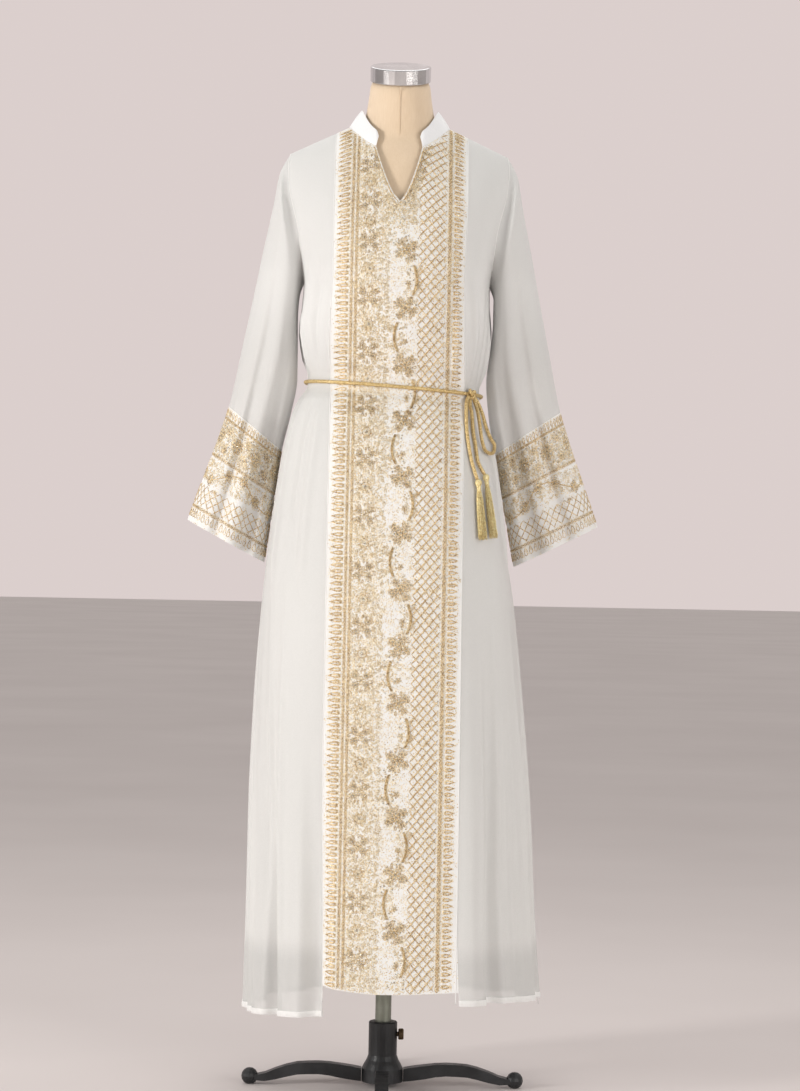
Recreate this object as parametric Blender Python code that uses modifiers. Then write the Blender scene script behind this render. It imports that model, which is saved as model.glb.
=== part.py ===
"""A long white jalabiya with an embroidered front and cuffs, on a limbless dress form and its stand.

Metres. The floor is Z = 0, the front faces -Y, and the stand's pole is on the Z axis.
Left and right are the viewer's, who stands in front.
"""

import math

import bmesh
import bpy
import numpy as np
from mathutils import Matrix, Vector

# Cloth and seams
CHIFFON = 0.0012  # wall of the plain cloth and the lining
BAND = 0.0018  # wall of the embroidered panel, the cuffs and the collar
SEAM = 0.0004  # gap between two pieces that are sewn together

# Levels of the garment. A level is a height before the belt's slope is added.
ARMPIT = 1.320
RIDGE = 1.620  # level of the shoulder seam, which slopes down from the neck
WAIST = 1.1485
WAIST_SLOPE = 0.0095  # the belt sits this much higher at the left and lower at the right

# Shoulders, armholes, neckline and the slit below it
SHOULDER_TOP = 1.6206
SHOULDER_SLOPE = 0.477
SHOULDER_ROUND = 0.020
ARMHOLE_FLARE = 0.06  # how much wider the chest's ring is than the armhole that cuts it
NECK_HALF = 0.083
NECK_DROP_FRONT = 0.258
NECK_DROP_BACK = 0.205
SLIT_X = 0.003
SLIT_HALF = 0.038
SLIT_LIFT = 0.440

# Seams of the embroidered panel
PANEL_LEFT = -0.104
PANEL_RIGHT = 0.113

BOXY = 2.3  # 2 is an ellipse, and more is squarer
CHEST_ROUND = 1.6
BACK_ROUND = 2.2

# How finely each piece is divided
UPPER_ROWS = 10
SLIT_ROW = 5
SLEEVE_COLUMNS = 2 * UPPER_ROWS
NECK_COLUMNS = 5  # of the back panel, from its middle to the shoulder seam's inner end
SHOULDER_COLUMNS = 8
COLLAR_COLUMNS = 4  # from the slit to the shoulder seam
LINING_COLUMNS = 32
FORM_COLUMNS = 28
LINING_LEVELS = {"skirt": (0.250, 0.43, 0.60, 0.76, 0.89), "top": (0.89, 1.00, 1.08, 1.1485, 1.21, 1.300)}
LOWER_LEVELS = (0.26, 0.39, 0.52, 0.65, 0.77, 0.87, 0.96, 1.04, 1.10, 1.138, 1.159, 1.20, 1.26)

# Belt, its tails and its tassels
CORD_R = 0.003
CORD_GAP = 0.0008
KNOT_TURN = 55.5
KNOT_GAP = 4.2  # degrees from the knot's middle to each end of the cord
KNOT_SIZE = (0.0095, 0.0066, 0.0095)
KNOT_EXIT_GAP = 0.0006
KNOT_LEAD = 0.004  # a cord leaves the knot straight for this far
BELT_POINTS = 50

# Dress form and stand
POLE_R = 0.0132
POLE_BOTTOM = 0.035
POLE_TOP = 0.8616
HUB_R = 0.0235
HUB_TOP = 0.107
SOCKET_GAP = 0.0004
FOOT_R = 0.014
FOOT_REACH = 0.2186
LEG_WIDTH = 0.022
SCREW_Z = 0.086
SCREW_R = 0.0040


def table(columns, *rows):
    """Rows of numbers as arrays with names, the first of which the others are read along."""
    return dict(zip(columns.split(), np.array(rows, float).T))


BODY = table(
    "level left right front back",
    (0.080, 0.2245, 0.2560, 0.205, 0.215),
    (0.200, 0.2230, 0.2450, 0.197, 0.207),
    (0.306, 0.2222, 0.2380, 0.190, 0.200),
    (0.471, 0.2220, 0.2285, 0.182, 0.190),
    (0.636, 0.2190, 0.2155, 0.174, 0.182),
    (0.801, 0.2110, 0.2000, 0.166, 0.174),
    (0.884, 0.2040, 0.1870, 0.161, 0.168),
    (0.978, 0.1930, 0.1740, 0.153, 0.158),
    (1.049, 0.1810, 0.1630, 0.143, 0.145),
    (1.098, 0.1690, 0.1530, 0.130, 0.128),
    (1.125, 0.1555, 0.1455, 0.117, 0.112),
    (1.140, 0.1440, 0.1390, 0.1062, 0.0985),
    (1.157, 0.1435, 0.1385, 0.1058, 0.0980),
    (1.180, 0.1490, 0.1445, 0.113, 0.104),
    (1.247, 0.1570, 0.1540, 0.127, 0.112),
    (1.320, 0.1530, 0.1530, 0.133, 0.115),
    (1.450, 0.1530, 0.1530, 0.131, 0.115),
    (1.620, 0.1530, 0.1530, 0.128, 0.112),
)

# The armhole's edge, from the armpit to the shoulder seam
ARMHOLE = table("lift x", (0, 0.153), (0.35, 0.1615), (0.72, 0.1785), (0.92, 0.1815), (1, 0.179))

# Folds of the skirt and the bodice. low and high are the fold's turn at its foot and at its
# top, width is its half-width in degrees, and depth is outward at its fullest.
FOLDS = table(
    "low high width depth top full end",
    (-29, -31, 5.5, -0.019, 0.64, 0.14, -1.0),
    (-39, -44, 7.0, 0.012, 0.82, 0.14, -1.0),
    (-48, -62, 4.8, -0.016, 0.86, 0.18, -1.0),
    (-60, -72, 9.0, 0.009, 0.78, 0.14, -1.0),
    (-80, -83, 7.0, -0.009, 0.74, 0.14, -1.0),
    (33, 36, 6.5, 0.012, 0.86, 0.14, -1.0),
    (43, 50, 5.0, -0.018, 1.00, 0.20, -1.0),
    (60, 63, 10.0, 0.011, 0.80, 0.14, -1.0),
    (79, 80, 7.0, -0.009, 0.74, 0.14, -1.0),
    (97, 96, 8.0, 0.011, 0.84, 0.14, -1.0),
    (111, 112, 7.0, -0.017, 0.92, 0.16, -1.0),
    (125, 124, 8.0, 0.014, 0.86, 0.14, -1.0),
    (138, 136, 7.5, -0.020, 1.02, 0.16, -1.0),
    (152, 151, 8.0, 0.013, 0.84, 0.14, -1.0),
    (166, 167, 7.0, -0.016, 0.92, 0.14, -1.0),
    (180, 179, 8.0, 0.015, 0.90, 0.14, -1.0),
    (-166, -168, 7.0, -0.018, 0.98, 0.16, -1.0),
    (-152, -154, 8.0, 0.012, 0.82, 0.14, -1.0),
    (-139, -137, 7.5, -0.018, 0.92, 0.16, -1.0),
    (-125, -126, 8.0, 0.014, 0.88, 0.14, -1.0),
    (-111, -111, 7.0, -0.018, 0.96, 0.16, -1.0),
    (-97, -99, 8.0, 0.011, 0.82, 0.14, -1.0),
    (46, 44, 7.0, -0.0045, 1.50, 1.36, 1.19),
    (60, 58, 8.0, 0.0040, 1.46, 1.34, 1.19),
    (-50, -46, 8.0, -0.0035, 1.50, 1.34, 1.19),
    (-64, -60, 8.0, 0.0035, 1.44, 1.32, 1.19),
    (150, 146, 10.0, -0.0050, 1.46, 1.30, 1.19),
    (-146, -144, 10.0, -0.0050, 1.48, 1.30, 1.19),
)
FOLD_END_FADE = 0.10

# Height of the hem round the side and back panels, and across the embroidered panel
HEM = table(
    "turn z",
    (-180, 0.135),
    (-140, 0.131),
    (-100, 0.127),
    (-75, 0.130),
    (-38, 0.139),
    (-20, 0.141),
    (20, 0.163),
    (35, 0.163),
    (75, 0.158),
    (100, 0.147),
    (140, 0.139),
    (180, 0.135),
)
PANEL_HEM = table("turn z", (-30, 0.190), (0, 0.180), (30, 0.184))

# How far the lining lies inside the garment's outside, and how much of its folds it follows
LINING_EASE = table(
    "level ease folded",
    (0.250, 0.0330, 0.0),
    (0.500, 0.0260, 0.0),
    (0.800, 0.0180, 0.0),
    (1.000, 0.0120, 0.0),
    (1.150, 0.0065, 1.0),
    (1.250, 0.0042, 1.0),
    (1.300, 0.0031, 1.0),
)

# Sleeve: its outer and inner edges in the front view, its middle's depth and its half-depth.
# The right sleeve has the inner edge nearer the body than the left one.
SLEEVE = table(
    "row outer_x outer_z inner_left inner_right inner_z middle_y half_depth",
    (0, 0.1780, 1.5357, 0.1530, 0.1530, 1.320, 0.000, 0.050),
    (1, 0.1960, 1.5020, 0.1600, 0.1600, 1.298, 0.002, 0.058),
    (2, 0.2070, 1.4450, 0.1625, 0.1600, 1.262, 0.008, 0.060),
    (3, 0.2225, 1.3720, 0.1620, 0.1565, 1.215, 0.015, 0.058),
    (4, 0.2370, 1.3000, 0.1620, 0.1510, 1.165, 0.024, 0.056),
    (5, 0.2550, 1.2150, 0.1725, 0.1565, 1.105, 0.035, 0.055),
    (6, 0.2760, 1.1180, 0.1865, 0.1685, 1.046, 0.046, 0.054),
    (7, 0.3420, 0.9290, 0.2125, 0.2030, 0.860, 0.054, 0.056),
)
CUFF_ROW = 6
SLEEVE_END = 7
SLEEVE_ROWS = (0, 0.45, 1, 2, 3, 4, 5, 6)
CUFF_ROWS = (6, 6.25, 6.5, 6.75, 7)

# Folds of a sleeve. around is 0 at its outer edge, 90 at the front and 180 at its inner edge.
SLEEVE_FOLDS = table(
    "around width depth start",
    (52, 18, 0.0040, 1.5),
    (77, 11, -0.0090, 1.2),
    (96, 14, 0.0060, 2.5),
    (118, 12, -0.0070, 2.0),
    (142, 16, 0.0040, 3.0),
    (222, 16, -0.0060, 2.0),
    (248, 15, 0.0050, 2.5),
    (278, 14, -0.0080, 1.5),
    (310, 18, 0.0050, 2.0),
)

# Dress form, as half-widths at each level, inside the garment
FORM = table(
    "level side front back",
    (0.862, 0.142, 0.098, 0.110),
    (0.900, 0.152, 0.107, 0.119),
    (0.970, 0.155, 0.112, 0.125),
    (1.050, 0.144, 0.103, 0.110),
    (1.150, 0.113, 0.086, 0.082),
    (1.230, 0.128, 0.104, 0.093),
    (1.320, 0.140, 0.121, 0.104),
    (1.450, 0.156, 0.119, 0.104),
    (1.620, 0.166, 0.116, 0.103),
)
FORM_EASE = 0.0024  # the shoulders of the form lie this far below the garment's outside

# Neck of the form: the middle and the size of each ring, which leans forward by tilt degrees
NECK = table(
    "z y side depth tilt",
    (1.500, 0.010, 0.070, 0.060, 0),
    (1.560, 0.006, 0.0645, 0.056, 3),
    (1.600, 0.001, 0.0565, 0.0525, 8),
    (1.636, -0.006, 0.0510, 0.0500, 13),
    (1.6555, -0.0095, 0.0495, 0.0495, 17),
)
CAP_HEIGHT = 0.025
CAP_R = 0.0500


def clear_scene():
    for obj in list(bpy.data.objects):
        bpy.data.objects.remove(obj)
    for name in ("jalabiya", "joined"):
        group = bpy.data.collections.new(name)
        bpy.context.scene.collection.children.link(group)
    bpy.data.collections["joined"].hide_render = True


def material(name, colour, roughness, metallic=0.0):
    made = bpy.data.materials.get(name) or bpy.data.materials.new(name)
    made.use_nodes = True
    shader = made.node_tree.nodes["Principled BSDF"]
    shader.inputs["Base Color"].default_value = (*colour, 1.0)
    shader.inputs["Roughness"].default_value = roughness
    shader.inputs["Metallic"].default_value = metallic
    return made


FINISHES = {
    "chiffon": ((0.86, 0.85, 0.83), 0.75, 0.0),
    "lining": ((0.90, 0.89, 0.87), 0.70, 0.0),
    "embroidery": ((0.80, 0.68, 0.46), 0.50, 0.3),
    "collar": ((0.90, 0.90, 0.90), 0.75, 0.0),
    "gold_cord": ((0.70, 0.52, 0.24), 0.40, 0.6),
    "gold_thread": ((0.83, 0.70, 0.33), 0.45, 0.4),
    "form_cover": ((0.80, 0.68, 0.53), 0.85, 0.0),
    "chrome": ((0.80, 0.80, 0.80), 0.12, 1.0),
    "pole_steel": ((0.38, 0.39, 0.34), 0.45, 0.8),
    "cast_iron": ((0.025, 0.025, 0.027), 0.55, 0.4),
}


def finished(obj, finish, group="jalabiya"):
    """Puts the object in its collection and gives it its material."""
    for held in list(obj.users_collection):
        held.objects.unlink(obj)
    bpy.data.collections[group].objects.link(obj)
    obj.data.materials.clear()
    obj.data.materials.append(material(finish, *FINISHES[finish]))
    return obj


def mesh_object(name, points, faces, finish, group="jalabiya"):
    mesh = bpy.data.meshes.new(name)
    mesh.from_pydata([tuple(p) for p in points], [], [tuple(int(i) for i in f) for f in faces])
    return finished(bpy.data.objects.new(name, mesh), finish, group)


# Curves through tables


def smooth(rows, column, at):
    """A table's column read as a curve that passes through every row and bulges past none."""
    xs, ys = next(iter(rows.values())), rows[column]
    steps = np.diff(xs)
    slopes = np.diff(ys) / steps
    before, after = slopes[:-1], slopes[1:]
    total = np.where(before * after > 0, before + after, 1.0)
    inner = np.where(before * after > 0, 2 * before * after / total, 0.0)
    ends = np.concatenate([slopes[:1], inner, slopes[-1:]])
    at = np.clip(at, xs[0], xs[-1])
    i = np.clip(np.searchsorted(xs, at, side="right") - 1, 0, len(steps) - 1)
    t = (at - xs[i]) / steps[i]
    return (
        (1 + 2 * t) * (1 - t) ** 2 * ys[i]
        + t * (1 - t) ** 2 * steps[i] * ends[i]
        + t * t * (3 - 2 * t) * ys[i + 1]
        - t * t * (1 - t) * steps[i] * ends[i + 1]
    )


def ramp(at, start, full):
    """0 at start, 1 at full, and smooth between them."""
    t = np.clip((at - start) / (full - start), 0, 1)
    return t * t * (3 - 2 * t)


def bell(angle, middle, width):
    """1 where the angle is middle, fading over width degrees either side."""
    off = (angle - middle + 180) % 360 - 180
    return np.exp(-((off / width) ** 2))


# Surface of the garment's body


def fold_depth(turn, level):
    total = np.zeros(np.broadcast(turn, level).shape)
    for low, high, width, depth, top, full, end in zip(*FOLDS.values()):
        along = np.clip((level - full) / (top - full), 0, 1)
        grown = ramp(level, top, full) * ramp(level, end, end + FOLD_END_FADE)
        total = total + depth * grown * bell(turn, low + (high - low) * along, width)
    return total


def armhole_x(lift):
    return smooth(ARMHOLE, "x", lift)


def lift_of(level):
    """0 at the armpit and 1 at the shoulder seam."""
    return np.clip((level - ARMPIT) / (RIDGE - ARMPIT), 0, 1)


def level_of(lift):
    return ARMPIT + (RIDGE - ARMPIT) * lift


def half_width(turn, level):
    lift = lift_of(level)
    low = np.where(turn < 0, smooth(BODY, "left", level), smooth(BODY, "right", level))
    high = armhole_x(lift) * (1 + ARMHOLE_FLARE * ramp(lift, 0, 0.40))
    return np.where(lift > 0, high, low)


def shoulder_z(x):
    return SHOULDER_TOP - SHOULDER_SLOPE * np.sqrt(x * x + SHOULDER_ROUND**2)


def dome(lift, roundness):
    """How much of the chest's or back's depth is left this far up to the shoulder seam."""
    return np.clip(1 - lift**roundness, 0, 1) ** (1 / roundness)


def rounded(turn):
    """Sine and cosine of the turn on a squarish ring."""
    s, c = np.sin(np.radians(turn)), np.cos(np.radians(turn))
    spread = (np.abs(s) ** BOXY + np.abs(c) ** BOXY) ** (1 / BOXY)
    return s / spread, c / spread


def body_point(turn, level, ease=0.0, folded=1.0):
    """Points of the garment's outside, or of a surface that lies ease inside it.

    turn is in degrees from the middle of the front, positive to the right. folded is the share
    of the folds' depth that the surface follows.
    """
    turn, level = np.broadcast_arrays(np.asarray(turn, float), np.asarray(level, float))
    turn = (turn + 180) % 360 - 180
    lift = lift_of(level)
    across, ahead = rounded(turn)
    side = half_width(turn, level) - ease
    front = (smooth(BODY, "front", level) - ease) * dome(lift, CHEST_ROUND)
    back = (smooth(BODY, "back", level) - ease) * dome(lift, BACK_ROUND)
    x = side * across
    y = -np.where(ahead > 0, front, back) * ahead
    z = np.where(lift > 0, ARMPIT + (shoulder_z(x) - ARMPIT) * lift, level)
    z = z - WAIST_SLOPE * across * np.exp(-(((level - WAIST) / 0.12) ** 2))
    depth = fold_depth(turn, level) * folded
    x = x + depth * np.sin(np.radians(turn))
    y = y - depth * np.cos(np.radians(turn))
    return np.stack([x, y, z], axis=-1)


def unit(vectors):
    return vectors / np.maximum(np.linalg.norm(vectors, axis=-1, keepdims=True), 1e-12)


def body_normal(turn, level, **how):
    step, rise = 0.05, 0.0002
    across = body_point(turn + step, level, **how) - body_point(turn - step, level, **how)
    up = body_point(turn, np.minimum(level + rise, RIDGE), **how) - body_point(turn, level - rise, **how)
    return unit(np.cross(across, up))


def turn_at(x, level, back=False):
    """The turn at which the body's ring of this level reaches x."""
    share = np.clip(np.abs(x) / half_width(np.sign(x), level), 0, 1) ** BOXY
    turn = np.degrees(np.arctan2(share ** (1 / BOXY), (1 - share) ** (1 / BOXY)))
    return np.sign(x) * np.where(back, 180 - turn, turn)


def edge_turn(level):
    """The turn of the side seam or, above the armpit, of the armhole's front edge."""
    return np.where(level > ARMPIT, turn_at(armhole_x(lift_of(level)), level), 90.0)


def neck_lift(x, drop):
    """How far up to the shoulder seam the neckline lies."""
    return 1 - drop * np.clip(1 - (x / NECK_HALF) ** 2, 0, 1)


# Walls of cloth


def grid_faces(index, wrap=False):
    """Quads of a grid of point numbers, in rows from low to high and columns from left to right."""
    if wrap:
        index = np.concatenate([index, index[:, :1]], axis=1)
    corners = (index[:-1, :-1], index[:-1, 1:], index[1:, 1:], index[1:, :-1])
    return np.stack(corners, axis=-1).reshape(-1, 4)


def wall(name, outside, inside, quads, finish):
    """A closed wall between two matching sheets of points, with a rim along every open edge.

    Both sheets are split along the same diagonals, so that the wall is as thick everywhere.
    """
    count = len(outside)
    used = {(a, b) for q in quads for a, b in zip(q, np.roll(q, -1))}
    rims = [(b, a, a + count, b + count) for a, b in used if (b, a) not in used]
    halves = np.concatenate([quads[:, [0, 1, 2]], quads[:, [0, 2, 3]]])
    faces = [tuple(t) for t in halves] + [tuple(t[::-1] + count) for t in halves] + rims
    obj = mesh_object(name, np.concatenate([outside, inside]), faces, finish)
    rounded_off(obj)
    return obj


def rounded_off(obj, angle=40):
    """Welds what meets, points the faces out, and shades the mesh smooth but for its edges."""
    shape = bmesh.new()
    shape.from_mesh(obj.data)
    bmesh.ops.remove_doubles(shape, verts=shape.verts, dist=1e-6)
    bmesh.ops.recalc_face_normals(shape, faces=shape.faces)
    shape.to_mesh(obj.data)
    shape.free()
    obj.data.shade_smooth()
    obj.data.set_sharp_from_angle(angle=math.radians(angle))


def pulled_in(points, edge):
    """Moves a grid's first or last row or column half a seam away from its neighbour piece."""
    at, beside = {"low": (0, 1), "high": (-1, -2), "left": (0, 1), "right": (-1, -2)}[edge]
    grid = points if edge in ("low", "high") else points.swapaxes(0, 1)
    grid[at] += unit(grid[beside] - grid[at]) * SEAM / 2
    return points


def body_wall(name, turn, level, thickness, finish, edges=("left", "right")):
    """One panel of the body, from grids of turns and levels."""
    points = body_point(turn, level)
    normals = body_normal(turn, level)
    inner = points - normals * thickness
    at_ridge = np.isclose(level, RIDGE)
    gap = np.where(np.cos(np.radians(turn)) > 0, -1, 1) * SEAM / 2
    for sheet in (points, inner):
        for edge in edges:
            pulled_in(sheet, edge)
        sheet[..., 1] += np.where(at_ridge, gap, 0)
    index = np.arange(turn.size).reshape(turn.shape)
    flat = (-1, 3)
    return wall(name, points.reshape(flat), inner.reshape(flat), grid_faces(index), finish)


def upper_lifts():
    """Lifts of the rows from the armpit to the shoulder seam, closest at both ends."""
    return (1 - np.cos(np.linspace(0, math.pi, UPPER_ROWS + 1))) / 2


def all_levels():
    return np.concatenate([LOWER_LEVELS, level_of(upper_lifts())])


def make_side_panel(name, sign):
    """Front panel beside the embroidered one, from its seam to the side seam and armhole."""
    levels = np.concatenate([[0.0], all_levels()])
    seam = turn_at(PANEL_LEFT if sign < 0 else PANEL_RIGHT, np.maximum(levels, 0.08))
    share = np.linspace(0, 1, 13 if sign < 0 else 12)
    turn = seam[:, None] + (sign * edge_turn(levels) - seam)[:, None] * share
    if sign < 0:
        turn = turn[:, ::-1]
    level = np.repeat(levels[:, None], len(share), axis=1)
    level[0] = smooth(HEM, "z", turn[0])
    turn[0] = turn[1]
    return body_wall(name, turn, level, CHIFFON, "chiffon")


def back_columns():
    """Shares of the turn from the back's middle to the side seam, with a column at each neck point."""
    edge = edge_turn(np.array(RIDGE))
    neck = (180 - turn_at(NECK_HALF, RIDGE, back=True)) / edge
    half = np.concatenate([np.linspace(0, neck, NECK_COLUMNS + 1), np.linspace(neck, 1, SHOULDER_COLUMNS + 1)[1:]])
    return np.concatenate([-half[:0:-1], half])


def back_neckline():
    """Turns and levels of the back panel's top edge, from the left shoulder to the right."""
    turn = 180 - back_columns() * edge_turn(np.array(RIDGE))
    level = np.full(turn.shape, RIDGE)
    for _ in range(8):
        level = level_of(neck_lift(body_point(turn, level)[:, 0], NECK_DROP_BACK))
    return turn, level


def make_back_panel():
    levels = np.concatenate([[0.0], all_levels()])
    share = back_columns()
    turn = 180 - share * edge_turn(levels)[:, None]
    level = np.repeat(levels[:, None], len(share), axis=1)
    level[0] = smooth(HEM, "z", (turn[0] + 180) % 360 - 180)
    turn[0] = turn[1]
    first = len(LOWER_LEVELS) + 1 + SLIT_ROW
    grown = (levels[first:] - levels[first]) / (RIDGE - levels[first])
    level[first:] = levels[first] + (back_neckline()[1] - levels[first]) * grown[:, None]
    return body_wall("back_panel", turn, level, CHIFFON, "chiffon")


def slit_edge(grown, sign):
    """x of the neck slit's edge, from its foot at 0 to the collar at 1."""
    return SLIT_X + (sign * SLIT_HALF - SLIT_X) * grown**0.65


def half_front(sign):
    """Turns and levels of the embroidered panel's left or right half, from the middle out."""
    levels = np.concatenate([[0.0], all_levels()])
    slit = len(LOWER_LEVELS) + 1 + SLIT_ROW
    seam_x = PANEL_LEFT if sign < 0 else PANEL_RIGHT
    neck = (NECK_HALF - SLIT_HALF) / (abs(seam_x) - SLIT_HALF)
    share = np.concatenate([np.linspace(0, neck, COLLAR_COLUMNS + 1), np.linspace(neck, 1, 3)[1:]])
    seam_lift, middle_lift = lift_of(levels), lift_of(levels) * SLIT_LIFT / upper_lifts()[SLIT_ROW]
    grown = np.clip((seam_lift - seam_lift[slit]) / (1 - seam_lift[slit]), 0, 1)
    inner_x = np.where(grown > 0, slit_edge(grown, sign), SLIT_X)
    x = inner_x[:, None] + (seam_x - inner_x)[:, None] * share
    lift = middle_lift[:, None] + (seam_lift - middle_lift)[:, None] * share
    top = neck_lift(x[-1], NECK_DROP_FRONT)
    lift[slit:] = lift[slit] + (top - lift[slit]) * grown[slit:, None]
    level = np.where(levels[:, None] >= ARMPIT, level_of(lift), levels[:, None])
    turn = turn_at(x, np.maximum(level, 0.08))
    level[0] = smooth(PANEL_HEM, "z", turn[1])
    turn[0] = turn_at(x[0], level[0])
    return turn, level, slit


def make_front_panel():
    """The embroidered panel. Its halves share the middle column below the slit."""
    points, inner, index, start = [], [], [], 0
    for sign in (-1, 1):
        turn, level, slit = half_front(sign)
        sheet = body_point(turn, level)
        lining = sheet - body_normal(turn, level) * BAND
        for part in (sheet, lining):
            pulled_in(part, "right")
            part[..., 1] -= np.where(np.isclose(level, RIDGE), SEAM / 2, 0)
        numbers = start + np.arange(turn.size).reshape(turn.shape)
        if sign > 0:
            numbers[: slit + 1, 0] = index[0][: slit + 1, 0]
        index.append(numbers)
        points.append(sheet.reshape(-1, 3))
        inner.append(lining.reshape(-1, 3))
        start += turn.size
    quads = np.concatenate([grid_faces(index[0][:, ::-1]), grid_faces(index[1])])
    outside, inside = np.concatenate(points), np.concatenate(inner)
    used, renumbered = np.unique(quads, return_inverse=True)
    wall("front_panel", outside[used], inside[used], renumbered.reshape(quads.shape), "embroidery")


def make_lining(part, half, middle):
    """Front or back half of the slip, below or above its hip seam. Its hem shows through the skirt."""
    columns = middle + np.linspace(-90, 90, LINING_COLUMNS // 2 + 1)
    turn, level = np.meshgrid(columns, LINING_LEVELS[part])
    folded = smooth(LINING_EASE, "folded", level)
    sheets = []
    for extra in (0.0, CHIFFON):
        ease = smooth(LINING_EASE, "ease", level) + extra
        points = body_point(turn, level, ease=ease, folded=folded)
        for edge in ("left", "right", "high" if part == "skirt" else "low"):
            pulled_in(points, edge)
        sheets.append(points.reshape(-1, 3))
    index = np.arange(turn.size).reshape(turn.shape)
    wall(f"lining_{part}_{half}", *sheets, grid_faces(index), "lining")


# Collar


def collar_line():
    """Turns and levels along the neckline, from the slit's right corner round the back to its left."""
    x = np.linspace(SLIT_HALF, NECK_HALF, COLLAR_COLUMNS + 1)[:-1]
    level = level_of(neck_lift(x, NECK_DROP_FRONT))
    turn = turn_at(x, level)
    back_turn, back_level = back_neckline()
    at_neck = slice(SHOULDER_COLUMNS, len(back_turn) - SHOULDER_COLUMNS)
    back_turn, back_level = back_turn[at_neck][::-1], back_level[at_neck][::-1]
    return np.concatenate([turn, back_turn, -turn[::-1]]), np.concatenate([level, back_level, level[::-1]])


COLLAR = table("x lean height", (0.0, 0.0035, 0.026), (0.04, 0.0080, 0.025), (0.083, 0.0200, 0.029))
COLLAR_CORNER = 0.010  # radius of the rounded front corners


def make_collar():
    turn, level = collar_line()
    base = body_point(turn, level)
    normal = body_normal(turn, level)
    axis = np.array([0.0, 0.004, 0.0])
    inward = unit((axis - base) * (1, 1, 0))
    lean = smooth(COLLAR, "lean", np.abs(base[:, 0]))
    height = smooth(COLLAR, "height", np.abs(base[:, 0]))
    along = np.concatenate([[0], np.cumsum(np.linalg.norm(np.diff(base, axis=0), axis=1))])
    from_end = np.minimum(along, along[-1] - along)
    corner = np.clip(1 - from_end / COLLAR_CORNER, 0, 1)
    height = height - COLLAR_CORNER * 0.8 * (1 - np.sqrt(1 - corner**2))
    share = np.linspace(0, 1, 4)[:, None, None]
    rise = inward * lean[:, None] + np.array([0, 0, 1]) * height[:, None]
    outside = base + normal * 0.0002 + unit(rise) * SEAM + rise * share
    outward = unit(np.cross(unit(np.gradient(base, axis=0)), unit(rise)))
    inside = outside - outward * BAND
    index = np.arange(share.size * len(base)).reshape(share.size, len(base))
    wall("collar", outside.reshape(-1, 3), inside.reshape(-1, 3), grid_faces(index), "collar")


# Sleeves


def armhole_point(around, sign):
    """The armhole's edge on the body. around is 0 at the shoulder and 180 at the armpit."""
    level = level_of((1 + np.cos(np.radians(around))) / 2)
    turn = edge_turn(level)
    turn = np.where(np.sin(np.radians(around)) >= 0, turn, 180 - turn)
    return body_point(sign * turn, level), body_normal(sign * turn, level)


def sleeve_point(around, row, sign):
    around, row = np.broadcast_arrays(np.asarray(around, float), np.asarray(row, float))
    column = {name: smooth(SLEEVE, name, row) for name in SLEEVE if name != "row"}
    inner_x = column["inner_left" if sign < 0 else "inner_right"]
    cos, sin = np.cos(np.radians(around)), np.sin(np.radians(around))
    middle_x, reach_x = (column["outer_x"] + inner_x) / 2, (column["outer_x"] - inner_x) / 2
    middle_z, reach_z = (column["outer_z"] + column["inner_z"]) / 2, (column["outer_z"] - column["inner_z"]) / 2
    x, z = sign * (middle_x + reach_x * cos), middle_z + reach_z * cos
    oval = np.stack([x, column["middle_y"] - column["half_depth"] * sin, z], axis=-1)
    first = SLEEVE["outer_x"][0], ARMHOLE["x"][0], SLEEVE["outer_z"][0], ARMPIT
    chord_x = sign * ((first[0] + first[1]) / 2 + (first[0] - first[1]) / 2 * cos)
    chord = np.stack([chord_x, 0 * cos, (first[2] + first[3]) / 2 + (first[2] - first[3]) / 2 * cos], axis=-1)
    edge = armhole_point(around, sign)[0] - chord
    carried = np.stack([x, 0 * x, z], axis=-1) + edge
    blend = ramp(row, 0, 1.6)[..., None]
    points = carried * (1 - blend) + oval * blend
    depth = np.zeros(row.shape)
    for middle, width, out, start in zip(*SLEEVE_FOLDS.values()):
        depth = depth + out * bell(around, middle, width) * ramp(row, start, SLEEVE_END)
    points[..., 1] -= depth * np.sign(sin)
    return points


def sleeve_normal(around, row, sign):
    step, rise = 0.5, 0.01
    across = sleeve_point(around + step, row, sign) - sleeve_point(around - step, row, sign)
    along = sleeve_point(around, np.minimum(row + rise, SLEEVE_END), sign) - sleeve_point(
        around, np.maximum(row - rise, 0), sign
    )
    return unit(np.cross(across, along)) * sign


def sleeve_wall(name, rows, sign, thickness, finish):
    around, row = np.meshgrid(np.linspace(0, 360, SLEEVE_COLUMNS + 1)[:-1], rows)
    outside = sleeve_point(around, row, sign)
    normal = sleeve_normal(around, row, sign)
    if rows[0] == 0:
        start, body = armhole_point(around[0], sign)
        run = unit(np.roll(start, -1, axis=0) - np.roll(start, 1, axis=0))
        away = unit(np.cross(body, run))
        middle = start.mean(axis=0)
        wanted = unit(middle - start) + np.array([sign, 0, 0])
        away *= np.sign((away * wanted).sum(axis=-1, keepdims=True))
        overhang = np.clip((normal[0] * away).sum(axis=-1, keepdims=True), 0, 1)
        outside[0] += away * (SEAM + thickness * overhang)
    else:
        outside[0] += unit(outside[1] - outside[0]) * SEAM * 1.5
    inside = outside - normal * thickness
    if sign > 0:
        outside, inside = outside[:, ::-1], inside[:, ::-1]
    index = np.arange(row.size).reshape(row.shape)
    wall(name, outside.reshape(-1, 3), inside.reshape(-1, 3), grid_faces(index, wrap=True), finish)


# Belt


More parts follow.
